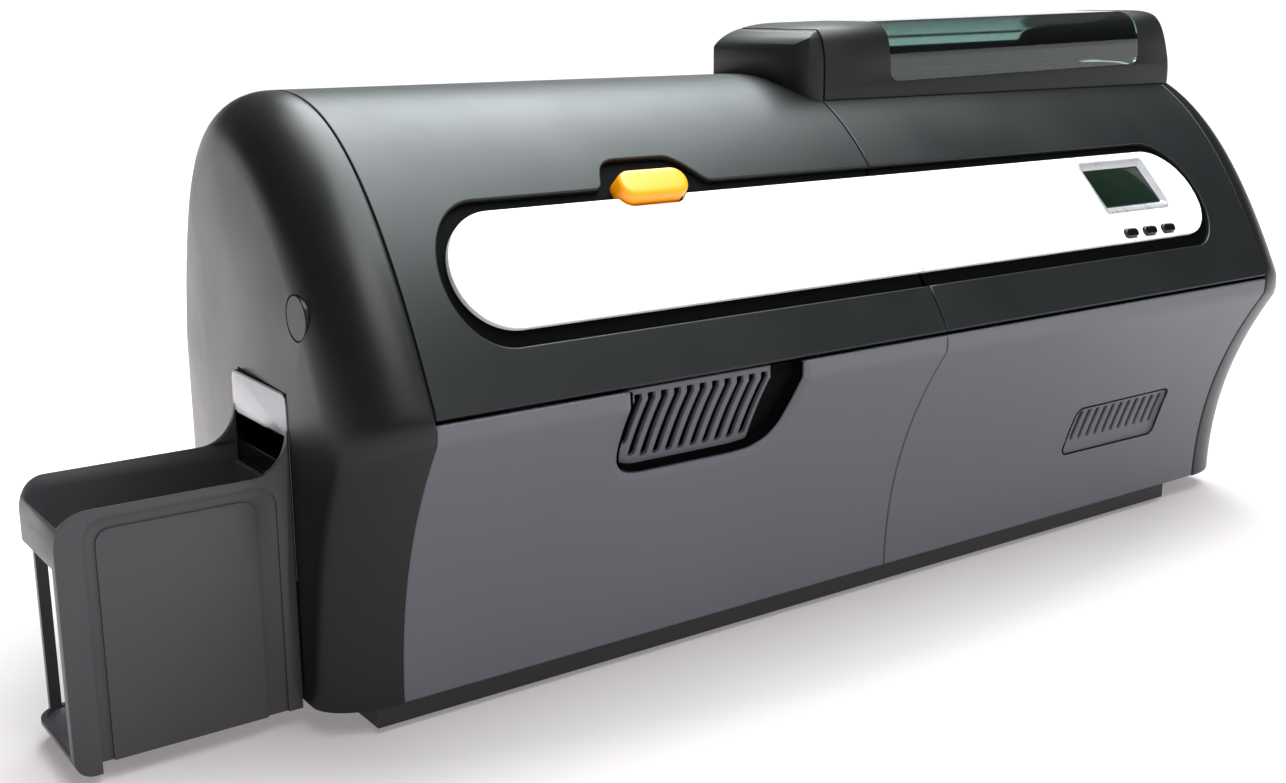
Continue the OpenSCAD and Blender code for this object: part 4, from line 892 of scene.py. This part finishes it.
class PRINTER_OT_top_covers(bpy.types.Operator):
    """Lays the two top covers on the dome, cut round the groove"""

    bl_idname = "printer.top_covers"
    bl_label = "Top covers"

    def execute(self, context):
        edge = mm(context.scene.printer_sizes.edge)
        satin = mat("abs_moulded_satin")
        far, gap = DOME.length, SEAM / 2
        low_z, high_z = BAND_Z0 - GROOVE_LOW, BAND_Z1 + GROOVE
        # print cover: up its leaning edge, round the groove, and over to the hinge
        notch_s = far - DOME.length_at(156.6)
        top_x = COVER_W - COVER_LEAN - gap
        notches = [[x + dx, s] for x in reversed(HINGE_X)
                   for dx, ends in ((HINGE_W + PLAY, (far, notch_s)), (-PLAY, (notch_s, far))) for s in ends]
        outline = np.concatenate([[[gap, 0.0]], up_dome(edge_line(BELT_Z, low_z, -gap)),
                                  up_dome(groove_left(0, -gap))[1:-1],
                                  up_dome(edge_line(high_z, EDGE_TOP, -gap)),
                                  [[top_x, far - 60], [top_x, far]], notches, [[gap, far]]])
        cover = skin("print_cover_shell", DOME, [outline], satin, edge=edge, step=(9, 5))
        barrels = [bar("barrel", HINGE_AXIS, BARREL, x + dx, x + dx + 12, satin, 0.6)
                   for x in HINGE_X for dx in (-12 - PLAY, HINGE_W + PLAY)]
        cover = joined("print_cover_skin", [cover] + barrels)
        stands_for(cover, "print_cover", "top_cover")
        # right cover, with the feeder's opening and the ears of the lid's hinge
        top_x, right_x = COVER_W - COVER_LEAN + gap, MID_W - gap
        outline = np.concatenate([up_dome(edge_line(BELT_Z, low_z, gap))[::-1],
                                  [[right_x, 0.0], [right_x, far], [top_x, far], [top_x, far - 60]],
                                  up_dome(edge_line(high_z, EDGE_TOP, gap))[::-1],
                                  up_dome(groove_right(0, gap))[1:-1]])
        mouth = rounded(*MOUTH_X, *dome_s_y(MOUTH_Y), 4)
        cover = skin("right_cover_shell", DOME, [outline, mouth], satin, edge=edge, step=(9, 5))
        ears = []
        axis_y, axis_z = LID_AXIS
        for x in KNUCKLE_X:
            for dx in (-6 - PLAY, KNUCKLE_W + PLAY):
                web = [[axis_y - 4, axis_z], [axis_y + 4, axis_z],
                       [axis_y + 5, dome_z(axis_y + 4) - 1], [axis_y - 4, dome_z(axis_y - 4) - 1]]
                ears.append(shaped(prism("ear", web, "x", x + dx, x + dx + 6, satin), bevel=0.5))
                ears.append(bar("ear", [axis_y, axis_z], 4, x + dx, x + dx + 6, satin, 0.5))
        cover = joined("right_cover_skin", [cover] + ears)
        stands_for(cover, "printer", "right_top_cover")
        return {"FINISHED"}


def pill(length, width, r, n=16):
    """A rounded rectangle about the origin."""
    return rounded(-length / 2, length / 2, -width / 2, width / 2, r, n=n)


def lcd_outline(g):
    """The display's outline in [x, length up the dome], swollen by g."""
    s = dome_s(LCD_Z)
    h = LCD_H / 2 + g
    r = 1.0 + max(g, 0) * 0.45
    x0, x1, k = LCD_X - g, LCD_X + LCD_W + g, LCD_LEAN
    return fillet([(x0 + k, s - h, r), (x1 + k, s - h, r), (x1 - k, s + h, r), (x0 - k, s + h, r)])


def under(y, t):
    """A point t below the dome's surface at y, as [y, z]."""
    p, _, n = DOME.at(np.array([dome_s_y(y)]))
    return (p - n * t)[0, 1:]


def groove_floors():
    """The groove's floor in two halves, reaching under the covers; the left one has the latch's ears."""
    black = mat("abs_moulded_black")
    gap, lap = SEAM / 2, 1.6
    low_z, high_z = BAND_Z0 - GROOVE_LOW - 3, BAND_Z1 + GROOVE + 3
    floor = np.concatenate([up_dome(groove_left(3, -gap - lap)),
                            up_dome(edge_line(low_z, high_z, -gap - lap))[::-1][1:-1]])
    hole = pill(39, 16, 8) + np.array([BUTTON_X, dome_s(BUTTON_Z)])
    left = skin("groove_left_floor", DOME, [floor, hole], black, thick=1.8, edge=0.3, base=2.8,
                step=(9, 5))
    ears = []
    ly, lz = LATCH_AXIS
    for x in (BUTTON_X - LEVER_HALF - EAR, BUTTON_X + LEVER_HALF):
        low, high = (under(dome_y(lz + dz), 3.6) for dz in (-10, 8))
        shape = [low, high, [ly + 2, lz + 4], [ly + 4, lz - 4], [ly - 2, lz - 5]]
        ears.append(prism("ear", shape, "x", x, x + EAR, black))
    ears.append(bar("pin", [ly, lz], 1.8, BUTTON_X - 8.5, BUTTON_X + 8.5, black, 0.3))
    left = joined("groove_left_skin", [left] + ears)
    floor = np.concatenate([up_dome(groove_right(3, gap)), up_dome(edge_line(low_z, high_z, gap))[1:-1]])
    right = skin("groove_right_skin", DOME, [floor], black, thick=1.8, edge=0.3, base=2.8, step=(9, 5))
    return left, right


class PRINTER_OT_fascia(bpy.types.Operator):
    """Makes the white band in its dark groove"""

    bl_idname = "printer.fascia"
    bl_label = "Fascia"

    def execute(self, context):
        sizes = context.scene.printer_sizes
        white = mat("polycarbonate_printed_white")
        gap, proud = SEAM / 2, mm(sizes.band)
        # left half, notched round the button
        sb = dome_s(BUTTON_Z)
        half, reach = 8.7, 20.2 - 8.7
        start = math.degrees(math.asin((sb - dome_s(BAND_Z1)) / half))
        outline = np.concatenate([up_dome(edge_line(BAND_Z0, BAND_Z1, -gap)),
                                  arc(BUTTON_X + reach, sb, half, half, -start, -90, 8),
                                  arc(BUTTON_X - reach, sb, half, half, -90, start - 180, 8),
                                  up_dome(band_left_end(0, 0, 0))[::-1]])
        left = skin("band_left_skin", DOME, [outline], white, thick=3.1, edge=0.6, base=-proud, step=(8, 4))
        stands_for(left, "print_cover", "band_left")
        # right half, with the display's and the keys' openings and a shallow pocket for the keys
        outline = np.concatenate([up_dome(edge_line(BAND_Z0, BAND_Z1, gap))[::-1],
                                  up_dome(band_right_end(0, 0, 0))[::-1]])
        key_s = dome_s(KEY_Z)
        keys = [pill(11.3, 5.3, 2.3) + np.array([x, key_s]) for x in KEYS]
        pocket = rounded(441, 492.5, key_s - 14, key_s + 4.6, 2, 3.5)
        right = skin("band_right_skin", DOME, [outline, lcd_outline(LCD_FRAME)] + keys, white,
                     thick=3.1, edge=0.6, base=-proud, step=(8, 3),
                     lift=lambda x, s: -0.7 * smooth(depth_in(pocket, x, s), -0.5, 0.7),
                     fine=[(437, 497, key_s - 6, key_s + 7, 1.0)])
        stands_for(right, "printer", "band_right")
        left, right = groove_floors()
        stands_for(left, "print_cover", "channel_left")
        stands_for(right, "printer", "channel_right")
        return {"FINISHED"}


class PRINTER_OT_display(bpy.types.Operator):
    """Makes the display, its sloping frame and the three keys"""

    bl_idname = "printer.display"
    bl_label = "Display and keys"

    def execute(self, context):
        silver, glass, black = mat("lacquer_silver"), mat("glass_display"), mat("abs_polished_black")
        steps = [(4.35, -2.0), (4.35, 0.3), (4.2, 0.65), (3.8, 0.8), (3.3, 0.7), (0.7, -1.0), (0.2, -1.4),
                 (0.2, -2.5), (4.35, -2.5)]
        rings = [onto(DOME, lcd_outline(g)[::-1], h) for g, h in steps[::-1]]
        bezel = loft("display_frame", rings, silver)
        stands_for(bezel, "printer", "lcd_bezel")
        steps = [(-0.1, -2.5), (-0.1, -1.75), (-0.4, -1.5)]
        face = loft("display_glass", [onto(DOME, lcd_outline(g), h) for g, h in steps], glass, (True, True))
        stands_for(face, "printer", "lcd_glass")
        s = dome_s(KEY_Z)
        steps = [(0.0, -1.5), (0.0, 0.9), (0.15, 1.25), (0.5, 1.42), (1.0, 1.48), (1.8, 1.5)]
        for i, x in enumerate(KEYS, 1):
            rings = [onto(DOME, pill(10.6 - 2 * g, 4.6 - 2 * g, max(2.0 - g, 0.3)) + np.array([x, s]), h)
                     for g, h in steps]
            key = loft(f"key_{i}", rings, black, (True, True), 60)
            stands_for(key, f"menu_key_{i}", f"menu_key_{i}")
        return {"FINISHED"}


class PRINTER_OT_release_button(bpy.types.Operator):
    """Makes the orange release button"""

    bl_idname = "printer.release_button"
    bl_label = "Release button"

    def execute(self, context):
        p, t, n = (rows[0] for rows in DOME.at(np.array([dome_s(BUTTON_Z)])))

        def ring(outline, h):
            """An outline in the button's plane, raised by h."""
            return p + (outline[:, :1] + BUTTON_X) * [1, 0, 0] + outline[:, 1:] * t + n * h

        orange = mat("abs_moulded_orange")
        steps = [(0.0, -5.0), (0.0, 3.4), (0.3, 4.6), (1.0, 5.5), (2.0, 5.9), (3.4, 6.0)]
        rings = [ring(pill(38 - 2 * g, 15 - 2 * g, max(7.3 - g, 1.0)), h) for g, h in steps]
        head = loft("button_head", rings, orange, (True, True), 60)
        stem = [ring(pill(12, 8, 3.9, n=8), h) for h in (-9, -5)]
        button = joined("button", [head, loft("button_stem", stem, orange, (True, True))])
        stands_for(button, "release_button", "release_button")
        return {"FINISHED"}


def vent_outline(g):
    """The large louvre's recess in [x, length up the front], drawn in by g, open at its top."""
    path = softened(VENT, 2.0)
    t = unit(np.gradient(path, axis=0))
    path = path + np.stack([-t[:, 1], t[:, 0]], 1) * g
    path = path[path[:, 1] < PANEL_TOP - 0.01]
    return np.stack([path[:, 0], FRONT.length_at(path[:, 1])], 1)


def under_cover(outline):
    """The recess's outline, carried straight up to just under the print cover."""
    top = FRONT.length
    o = outline[outline[:, 1] < top - 1.2]
    return np.concatenate([[[o[0, 0], top - 0.6]], o, [[o[-1, 0], top - 0.6]]])


def large_louvre(sizes):
    """The slats in a tray behind the recess, and a black patch at their right as painted shade."""
    grey, black = mat("abs_moulded_spark_texture"), mat("abs_moulded_black")
    top, deep = FRONT.length, mm(sizes.recess)
    n, m = sizes.slots, 140
    tray = [onto(FRONT, even_to(even(under_cover(vent_outline(0.4 + g)), 1.6), m), -d)
            for g, d in ((0.0, 1.2), (0.0, deep), (2.2, deep + 1.2))]
    side = piece("louvre_side", np.concatenate(tray), quads(3, m, closed=False), black, crease=50)
    reach = vent_outline(0.6)
    floor = under_cover(reach)[::-1]
    reach = reach[np.argsort(reach[:, 0])]
    left_x = floor[:, 0].min()
    pitch = (floor[:, 0].max() - left_x - 18) / n
    wide = pitch - mm(sizes.slat)
    slots = []
    for i in range(n):
        x = left_x + 4.5 + i * pitch
        low = max(np.interp([x - 1, x + wide + 2], reach[:, 0], reach[:, 1])) + 3.5
        slots.append(fillet([(x + 0.9, low, wide * 0.45), (x + wide + 0.9, low, wide * 0.45),
                             (x + wide, top - 3.5, 0.4), (x, top - 3.5, 0.4)], n=4))
    slats = skin("louvre_slats", FRONT, [floor] + slots, grey, thick=2.0, edge=0.7, base=deep,
                 step=(5, 4))
    back = skin("louvre_back", FRONT, [floor], black, thick=0.6, edge=0.2, base=deep + 6, step=(9, 6))
    # painted shade: a black patch at the right of the slats, for the shade on the recess's sloping right wall
    x += wide + 1.6
    run = floor[floor[:, 0] > x + 1.2]
    run = np.concatenate([run, [[x + 1.2, run[-1, 1]], [x, top - 0.6]]])
    painted_shade_patch = skin("louvre_painted_shade", FRONT, [run], black, thick=0.5, edge=0.1, base=deep - 0.3, step=(6, 5))
    return joined("louvre_large", [side, slats, back, painted_shade_patch])


def right_panel(sizes):
    """The right front panel, with the small louvre in a dished area."""
    grey, black = mat("abs_moulded_spark_texture"), mat("abs_moulded_black")
    s0 = FRONT.length_at(SMALL_Z0)
    x0, x1 = SMALL_X - 8, SMALL_X + SMALL_L
    area = fillet([(x0, s0 - 0.5, 4), (x1, s0 - 1, 6), (x1 + 4.2, s0 + SMALL_H + 1, 4),
                   (x0 + 5, s0 + SMALL_H + 0.5, 6)])
    slots = []
    for i in range(sizes.slots):
        x = SMALL_X - 1 + i * 7.3
        slots.append(fillet([(x, s0 + 8, 1.0), (x + 2.5, s0 + 8, 1.0), (x + 5.9, s0 + 26, 1.2),
                             (x + 2.9, s0 + 26, 1.2)], n=4))
    outline = rounded(COVER_W + SEAM / 2, MID_W - SEAM / 2, 0, FRONT.length, 0)
    scoop = mm(sizes.scoop)
    right = skin("front_panel_right_skin", FRONT, [outline] + slots, grey, edge=mm(sizes.edge),
                 step=(9, 4), lift=lambda x, s: -scoop * smooth(depth_in(area, x, s), -0.4, 1.6),
                 fine=[(x0, x1 + 9, s0 - 9, s0 + SMALL_H + 6, 1.4)])
    # painted shade: a dark line along the area's edge, for the shade in the soft groove round it
    inner = fillet([(x0 + 0.9, s0 + 0.3, 3.4), (x1 - 0.9, s0 - 0.2, 5.4),
                    (x1 + 3.2, s0 + SMALL_H + 0.2, 3.4), (x0 + 5.7, s0 + SMALL_H - 0.3, 5.4)])
    line = skin("louvre_small_painted_shade", FRONT, [area, inner], black, thick=0.3, edge=0.05, base=-0.05,
                step=(6, 5))
    return joined("front_panel_right_skin", [right, line])


class PRINTER_OT_front_panels(bpy.types.Operator):
    """Makes the two lower panels and their louvres"""

    bl_idname = "printer.front_panels"
    bl_label = "Front panels and louvres"

    def execute(self, context):
        sizes = context.scene.printer_sizes
        edge, lip = mm(sizes.edge), mm(sizes.lip)
        top, gap = FRONT.length, SEAM / 2
        notch = vent_outline(-lip * 0.15)
        outline = np.concatenate([[[gap, 0.0], [COVER_W - gap, 0.0], [COVER_W - gap, top]],
                                  [[notch[-1, 0], top]], notch[::-1], [[notch[0, 0], top], [gap, top]]])
        wide_vent = np.concatenate([[[notch[0, 0], top + 30]], notch, [[notch[-1, 0], top + 30]]])
        left = skin("front_panel_left_skin", FRONT, [outline], mat("abs_moulded_spark_texture"),
                    edge=edge, step=(9, 4),
                    lift=lambda x, s: -1.2 * smooth(depth_in(wide_vent, x, s), -lip * 1.4, 0.3),
                    fine=[(86, 101, top - 52, top, 1.5), (101, 184, top - 54, top - 41, 1.5),
                          (184, 203, top - 54, top, 1.5)])
        stands_for(left, "printer", "front_panel_left")
        stands_for(large_louvre(sizes), "printer", "vent_grille")
        stands_for(right_panel(sizes), "printer", "front_panel_right")
        return {"FINISHED"}


# ---- Hood ----

def leaned(thing):
    """Leans a piece down towards the hood's left end, about the top of its right end."""
    pivot = Matrix.Translation(to_row([[LID_X1, 0, HOOD_TOP]])[0])
    turn = Matrix.Rotation(-math.atan(HOOD_DROP / (LID_X1 - HOOD_X0)), 4, "Y")
    thing.data.transform(pivot @ turn @ pivot.inverted())
    return thing


def hood_solid(name, t, material):
    """The hood as a solid, drawn in by t: its boxy section cut to its plan."""
    mid = (HOOD_Y0 + HOOD_Y1) / 2
    a = np.radians(np.arange(180, -0.1, -3.0))
    c, s = np.cos(a), np.sin(a)
    section = np.stack([mid + np.sign(c) * ((HOOD_Y1 - HOOD_Y0) / 2 - t) * np.abs(c) ** (2 / HOOD_POWER),
                        HOOD_BASE + (HOOD_TOP - HOOD_BASE - t) * np.clip(s, 0, 1) ** (2 / HOOD_POWER)], 1)
    x0, x1, y0, y1 = HOOD_X0, LID_X1, HOOD_Y0, HOOD_Y1
    body = prism(name, section, "x", x0 - 2, x1 + 4, material)
    (lr, lh), (rr, rh) = HOOD_LEFT, HOOD_RIGHT
    side = np.concatenate([arc(x0 + lr, HOOD_TOP - lh + 0.1, lr - t, lh - t, 180, 90, 24),
                           arc(x1 - HOOD_END_LEAN - rr, HOOD_TOP - rh + 0.1, rr - t, rh - t, 90, 0, 12),
                           [[x1 + 3 - t, HOOD_BASE - 8], [x0 - 0.1 + t, HOOD_BASE - 8]]])
    leaned(shaped(body, prism("side", side, "y", y0 - 1, y1 + 1, material), "INTERSECT"))
    corners = ((x0 + 15, y0 + 32, 15, 32, 180, 20), (x1 - 6, y0 + 6, 6, 6, -90, 10),
               (x1 - 6, y1 - 6, 6, 6, 0, 8), (x0 + 6, y1 - 6, 6, 6, 90, 8))
    plan = np.concatenate([arc(x, y, rx - t, ry - t, a, a + 90, k) for x, y, rx, ry, a, k in corners])
    return shaped(body, prism("plan", plan, "z", HOOD_BASE - 1, HOOD_TOP + 5, material), "INTERSECT")


def dome_solid(g, material):
    """The casing's dome as a solid, swollen by g."""
    p, _, n = DOME.at(np.linspace(0, DOME.length, 90))
    outline = (p + n * g)[:, 1:]
    outline = np.concatenate([outline, [[BODY_D, 100.0], [0, 100.0]]])
    return prism("dome", outline, "x", 200, MID_W + 20, material)


def window_solid(g, material):
    """The window's opening: front and top, and a part over the rear shoulder."""
    x0, x1, z = WINDOW_X0 - g, WINDOW_X1 + g, WINDOW_Z - g
    a = prism("opening", rounded(x0, x1, z, 400, 6, 0), "y", 0, 137 + g, material)
    b = block("opening", [x0, 123, HOOD_TOP - 14 - g], [WINDOW_X0 + WINDOW_BACK + g, 400, 400], material)
    return leaned(shaped(a, b, "UNION"))


class PRINTER_OT_feeder_hood(bpy.types.Operator):
    """Makes the hood: its fairing on the print cover, the hinged lid and the window"""

    bl_idname = "printer.feeder_hood"
    bl_label = "Feeder hood"

    def execute(self, context):
        matt, clear = mat("abs_moulded_hood_texture"), mat("polycarbonate_clear_teal")
        hollow = hood_solid("hollow", HOOD_WALL, matt)
        cut_by(hollow, dome_solid(HOOD_WALL, matt))
        fairing = cut_by(hood_solid("hood_fairing_skin", 0, matt), hollow, dome_solid(0.1, matt),
                         block("cut", [FAIRING_X1, 0, 0], [900, 400, 400], matt))
        shaped(fairing, bevel=0.5, segments=2, angle=50)
        stands_for(fairing, "print_cover", "hood_fairing")
        hollow = cut_by(hood_solid("hollow", HOOD_WALL, matt),
                        block("cut", [0, 0, 0], [LID_X0 + HOOD_WALL, 400, 400], matt))
        lid = cut_by(hood_solid("lid", 0, matt), hollow, dome_solid(0.6, matt),
                     block("cut", [0, 0, 0], [LID_X0, 400, 400], matt), window_solid(0, matt))
        shaped(lid, bevel=0.45, segments=2, angle=50)
        knuckles = []
        y, z = LID_AXIS
        for x in KNUCKLE_X:
            web = [[HOOD_Y1 - 3, z - 3], [y, z - 4], [y, z + 4], [HOOD_Y1 - 3, z + 4]]
            knuckles.append(prism("knuckle", web, "x", x, x + KNUCKLE_W, matt))
            knuckles.append(bar("knuckle", LID_AXIS, 4, x, x + KNUCKLE_W, matt, 0.5))
        lid = joined("lid_skin", [lid] + knuckles)
        stands_for(lid, "feeder_lid", "feeder_lid")
        pane = cut_by(hood_solid("lid_window", 0, clear), hood_solid("hollow", HOOD_WALL, clear))
        shaped(pane, window_solid(-0.1, clear), "INTERSECT")
        stands_for(pane, "feeder_lid", "feeder_window")
        return {"FINISHED"}


# ---- Output hopper ----

def hopper_plan(t):
    """Plan of the hopper, drawn in by t; its rear outer corner is round."""
    r = HOP_CORNER
    return np.concatenate([arc(HOP_X0 + r, HOP_Y1 - r, r - t, r - t, 180, 90, 12),
                           [[HOP_X1 - t, HOP_Y1 - t], [HOP_X1 - t, HOP_Y0 + t], [HOP_X0 + t, HOP_Y0 + t]]])


def slot_plate():
    """The glossy plate with the card slot; black below its silver upper part, as painted shade where the
    hopper's throat darkens the plate.
    """
    shaded_black = mat("abs_polished_black")
    y0, y1, z0, z1 = PLATE
    plate = prism("slot_plate", rounded(*PLATE, 1.5, 5), "x", -33.8, -16, shaded_black)
    cut_by(plate, block("cut", [-31.3, y0 + 2.1, z0 + 2.2], [0, y1 - 2.1, z1 - 2.2], shaded_black),
           prism("cut", rounded(*CARD_SLOT, 2), "x", -60, 0, shaded_black))
    for y in HOOK_Y:
        cut_by(plate, block("cut", [-60, y - 0.3, HOOK_Z], [-20, y + 6.3, HOOK_Z + 16], shaded_black))
    shaped(plate, bevel=0.7)
    # the silver upper part, a thin plate laid over the black one; the black below it is painted shade
    silver_top = rounded(y0 + 1, y1 - 1, CARD_SLOT[3] + 1, z1 - 0.9, 0.6, 4.2)
    silver_top = prism("slot_silver_top", silver_top, "x", -34.05, -33, mat("lacquer_silver"))
    shaped(silver_top, bevel=0.2, segments=2)
    return joined("slot_plate", [plate, silver_top])


def hopper_body():
    """The hopper, with its sloping rim and its two hooks."""
    stoned = mat("abs_stoned_black")
    x0, x1, z0, rim = HOP_X0, HOP_X1, HOP_Z0, HOP_RIM
    w, step = HOP_WALL, z0 + FOOT_H
    floor = step + w
    side = np.concatenate([arc(x0 + 8, z0 + 8, 8, 8, 270, 180, 8),
                           arc(x0 + 14, rim - 14, 14, 14, 180, 90, 14),
                           arc(x1 - 16, rim + THROAT, 16, THROAT, 270, 360, 14),
                           [[x1, step], [x0 + 11, step], [x0 + 11, z0]]])
    hopper = prism("hopper_skin", side, "y", HOP_Y0 - 1, HOP_Y1 + 1, stoned)
    shaped(hopper, prism("plan", hopper_plan(0), "z", 0, 300, stoned), "INTERSECT")
    # a shallow panel in the front wall, with a broad groove round it
    recess = prism("recess", rounded(x0 + 11, x1 - 6.5, z0 - 5, rim - 4, 0, 9), "y", HOP_Y0 - 1,
                   HOP_Y0 + 1.4, stoned)
    raised = prism("raised", rounded(x0 + 16, x1 - 16, z0 - 6, rim - 9, 0, 6), "y", HOP_Y0 - 3,
                   HOP_Y0 + 3, stoned)
    # the rim of the walls slopes inwards
    steps = [(w, floor), (w, rim - 5.5), (0.7, rim), (0.7, rim + 1), (w, rim + 1.2), (w, 300)]
    rings = [np.insert(turned(hopper_plan(t), True), 2, z, axis=1) for t, z in steps]
    cut_by(hopper, loft("hollow", rings, stoned, (True, True)),
           block("cut", [x1 - w - 1, 70, rim - 8], [0, 125, 400], stoned),
           block("cut", [x0 - 1, HOP_Y0 + 5, floor + 1], [x0 + 6, HOP_Y1 + 1, 93], stoned),
           block("cut", [x0 + 11.5, HOP_Y1 - w - 3, floor + 1], [x0 + 22, HOP_Y1 + 1, 79], stoned),
           prism("cut", rounded(HOP_Y0 + 16, HOP_Y1 - 16, rim - 3.5, 300, 3, 0), "x", x0 - 1, x0 + w + 1,
                 stoned),
           cut_by(recess, raised))
    hooks = [block("hook", [x, y, z], [-29, y + 6, HOOK_Z + 6], stoned)
             for y in HOOK_Y for x, z in ((x1 - 1, HOOK_Z), (-31, HOOK_Z - 7))]
    shaped(hopper, bevel=0.7)
    return joined("hopper", [hopper] + hooks)


class PRINTER_OT_output_hopper(bpy.types.Operator):
    """Makes the card slot's plate and the lift-off output hopper"""

    bl_idname = "printer.output_hopper"
    bl_label = "Card slot and hopper"

    def execute(self, context):
        stands_for(slot_plate(), "printer", "output_bezel")
        stands_for(hopper_body(), "output_hopper", "output_hopper")
        return {"FINISHED"}


class PRINTER_OT_rear(bpy.types.Operator):
    """Makes the rear panels, with the sockets' openings and the fan's slots"""

    bl_idname = "printer.rear"
    bl_label = "Rear panels"

    def execute(self, context):
        grey = mat("abs_moulded_spark_texture")
        edge = mm(context.scene.printer_sizes.edge)
        low = REAR_TOP

        def hole(x, z, w, h):
            return rounded(x - 0.4, x + w + 0.4, low - z + 0.4, low - z - h - 0.4, 0.8, n=3)

        gap = SEAM / 2
        sides = [(gap, COVER_W - gap), (COVER_W + gap, MID_W - gap)]
        holes = [[hole(*socket) for socket in group] for group in SOCKETS]
        # seven upright slots over the fan, in a circle
        for dx in range(-21, 22, 7):
            x, s, h = FAN_X + dx, low - FAN_DROP, math.sqrt(FAN_R ** 2 - dx ** 2)
            holes[1].append(rounded(x, x + 4, s - h, s + h, 1.9, n=4))
        for name, (x0, x1), cuts in zip(("left", "right"), sides, holes):
            outline = rounded(x0, x1, 0, REAR.length, 0)
            panel = skin(f"rear_panel_{name}_skin", REAR, [outline] + cuts, grey, edge=edge)
            stands_for(panel, "printer", f"rear_panel_{name}")
        return {"FINISHED"}


class PRINTER_OT_stage(bpy.types.Operator):
    """Sets the pale floor, the soft studio light and the camera"""

    bl_idname = "printer.stage"
    bl_label = "Stage"

    def execute(self, context):
        scene = context.scene
        corners = [[-2100, -2100, 0], [2600, -2100, 0], [2600, 2500, 0], [-2100, 2500, 0]]
        # the floor's own glow paints a shadow round the machine
        floor = piece("stage_floor", corners, [(0, 1, 2, 3)], mat("floor_painted_glow"))
        world = bpy.data.worlds.new("studio")
        scene.world = world
        world.use_nodes = True
        tree = world.node_tree
        tree.nodes.clear()
        out = add(tree, "ShaderNodeOutputWorld")
        where = add(tree, "ShaderNodeTexCoord")
        # a dim room, white up to a little over the horizon, where the floor runs out
        parts = add(tree, "ShaderNodeSeparateXYZ", links={"Vector": where.outputs["Generated"]})
        strip = add(tree, "ShaderNodeMath", {1: 0.12}, {0: parts.outputs["Z"]}, operation="LESS_THAN")
        up = add(tree, "ShaderNodeMapRange", {"From Min": -0.3, "From Max": 0.9, "To Min": 0.0, "To Max": 0.12},
                 {"Value": parts.outputs["Z"]})
        level = add(tree, "ShaderNodeMath", links={0: strip.outputs[0], 1: up.outputs["Result"]},
                    operation="MAXIMUM")
        level = add(tree, "ShaderNodeMath", {1: 1.1}, {0: level.outputs[0]}, operation="MULTIPLY")
        sky = add(tree, "ShaderNodeBackground", {"Color": linear("#ffffff")}, {"Strength": level.outputs[0]})
        tree.links.new(sky.outputs["Background"], out.inputs["Surface"])

        for name, (at, target, size, power, tint) in SOFTBOXES.items():
            lamp = bpy.data.lights.new(name, "AREA")
            lamp.shape, lamp.size, lamp.size_y, lamp.energy = "RECTANGLE", size[0], size[1], power
            lamp.color = linear(tint)[:3]
            thing = bpy.data.objects.new(name, lamp)
            thing.location = at
            thing.rotation_euler = (Vector(target) - Vector(at)).to_track_quat("-Z", "Y").to_euler()
            scene.collection.objects.link(thing)
        view = bpy.data.cameras.new("view")
        view.sensor_width, view.lens = SENSOR, FOCAL * SENSOR / IMAGE_W
        view.clip_start, view.clip_end = 0.05, 30
        camera = bpy.data.objects.new("view", view)
        camera.location, camera.rotation_euler = CAMERA_AT, [math.radians(a) for a in CAMERA_TURN]
        scene.collection.objects.link(camera)
        scene.camera = camera
        scene.view_settings.view_transform = "Standard"
        scene.view_settings.look = "None"
        scene.view_settings.exposure = 0.0
        return {"FINISHED"}


OPERATORS = (PRINTER_OT_finishes, PRINTER_OT_end_caps, PRINTER_OT_top_covers, PRINTER_OT_fascia,
             PRINTER_OT_display, PRINTER_OT_release_button, PRINTER_OT_front_panels, PRINTER_OT_feeder_hood,
             PRINTER_OT_output_hopper, PRINTER_OT_rear, PRINTER_OT_stage)


class VIEW3D_PT_printer(bpy.types.Panel):
    """Lists the pieces and the values they use"""

    bl_label = "Card printer"
    bl_idname = "VIEW3D_PT_printer"
    bl_space_type = "VIEW_3D"
    bl_region_type = "UI"
    bl_category = "Card printer"

    def draw(self, context):
        for group in (context.scene.printer_sizes, context.scene.printer_colours):
            box = self.layout.box()
            for name in group.bl_rna.properties.keys():
                if name not in ("rna_type", "name"):
                    box.prop(group, name)
        for operator in OPERATORS:
            self.layout.operator(operator.bl_idname)


CLASSES = (PrinterSizes, PrinterColours) + OPERATORS + (VIEW3D_PT_printer,)


def register():
    for c in CLASSES:
        bpy.utils.register_class(c)
    bpy.types.Scene.printer_sizes = PointerProperty(type=PrinterSizes)
    bpy.types.Scene.printer_colours = PointerProperty(type=PrinterColours)


def unregister():
    del bpy.types.Scene.printer_sizes
    del bpy.types.Scene.printer_colours
    for c in reversed(CLASSES):
        bpy.utils.unregister_class(c)


def main():
    register()
    for operator in OPERATORS:
        group, name = operator.bl_idname.split(".")
        if getattr(getattr(bpy.ops, group), name)() != {"FINISHED"}:
            raise RuntimeError(f"{operator.bl_label} did not finish")


if __name__ == "__main__":
    main()
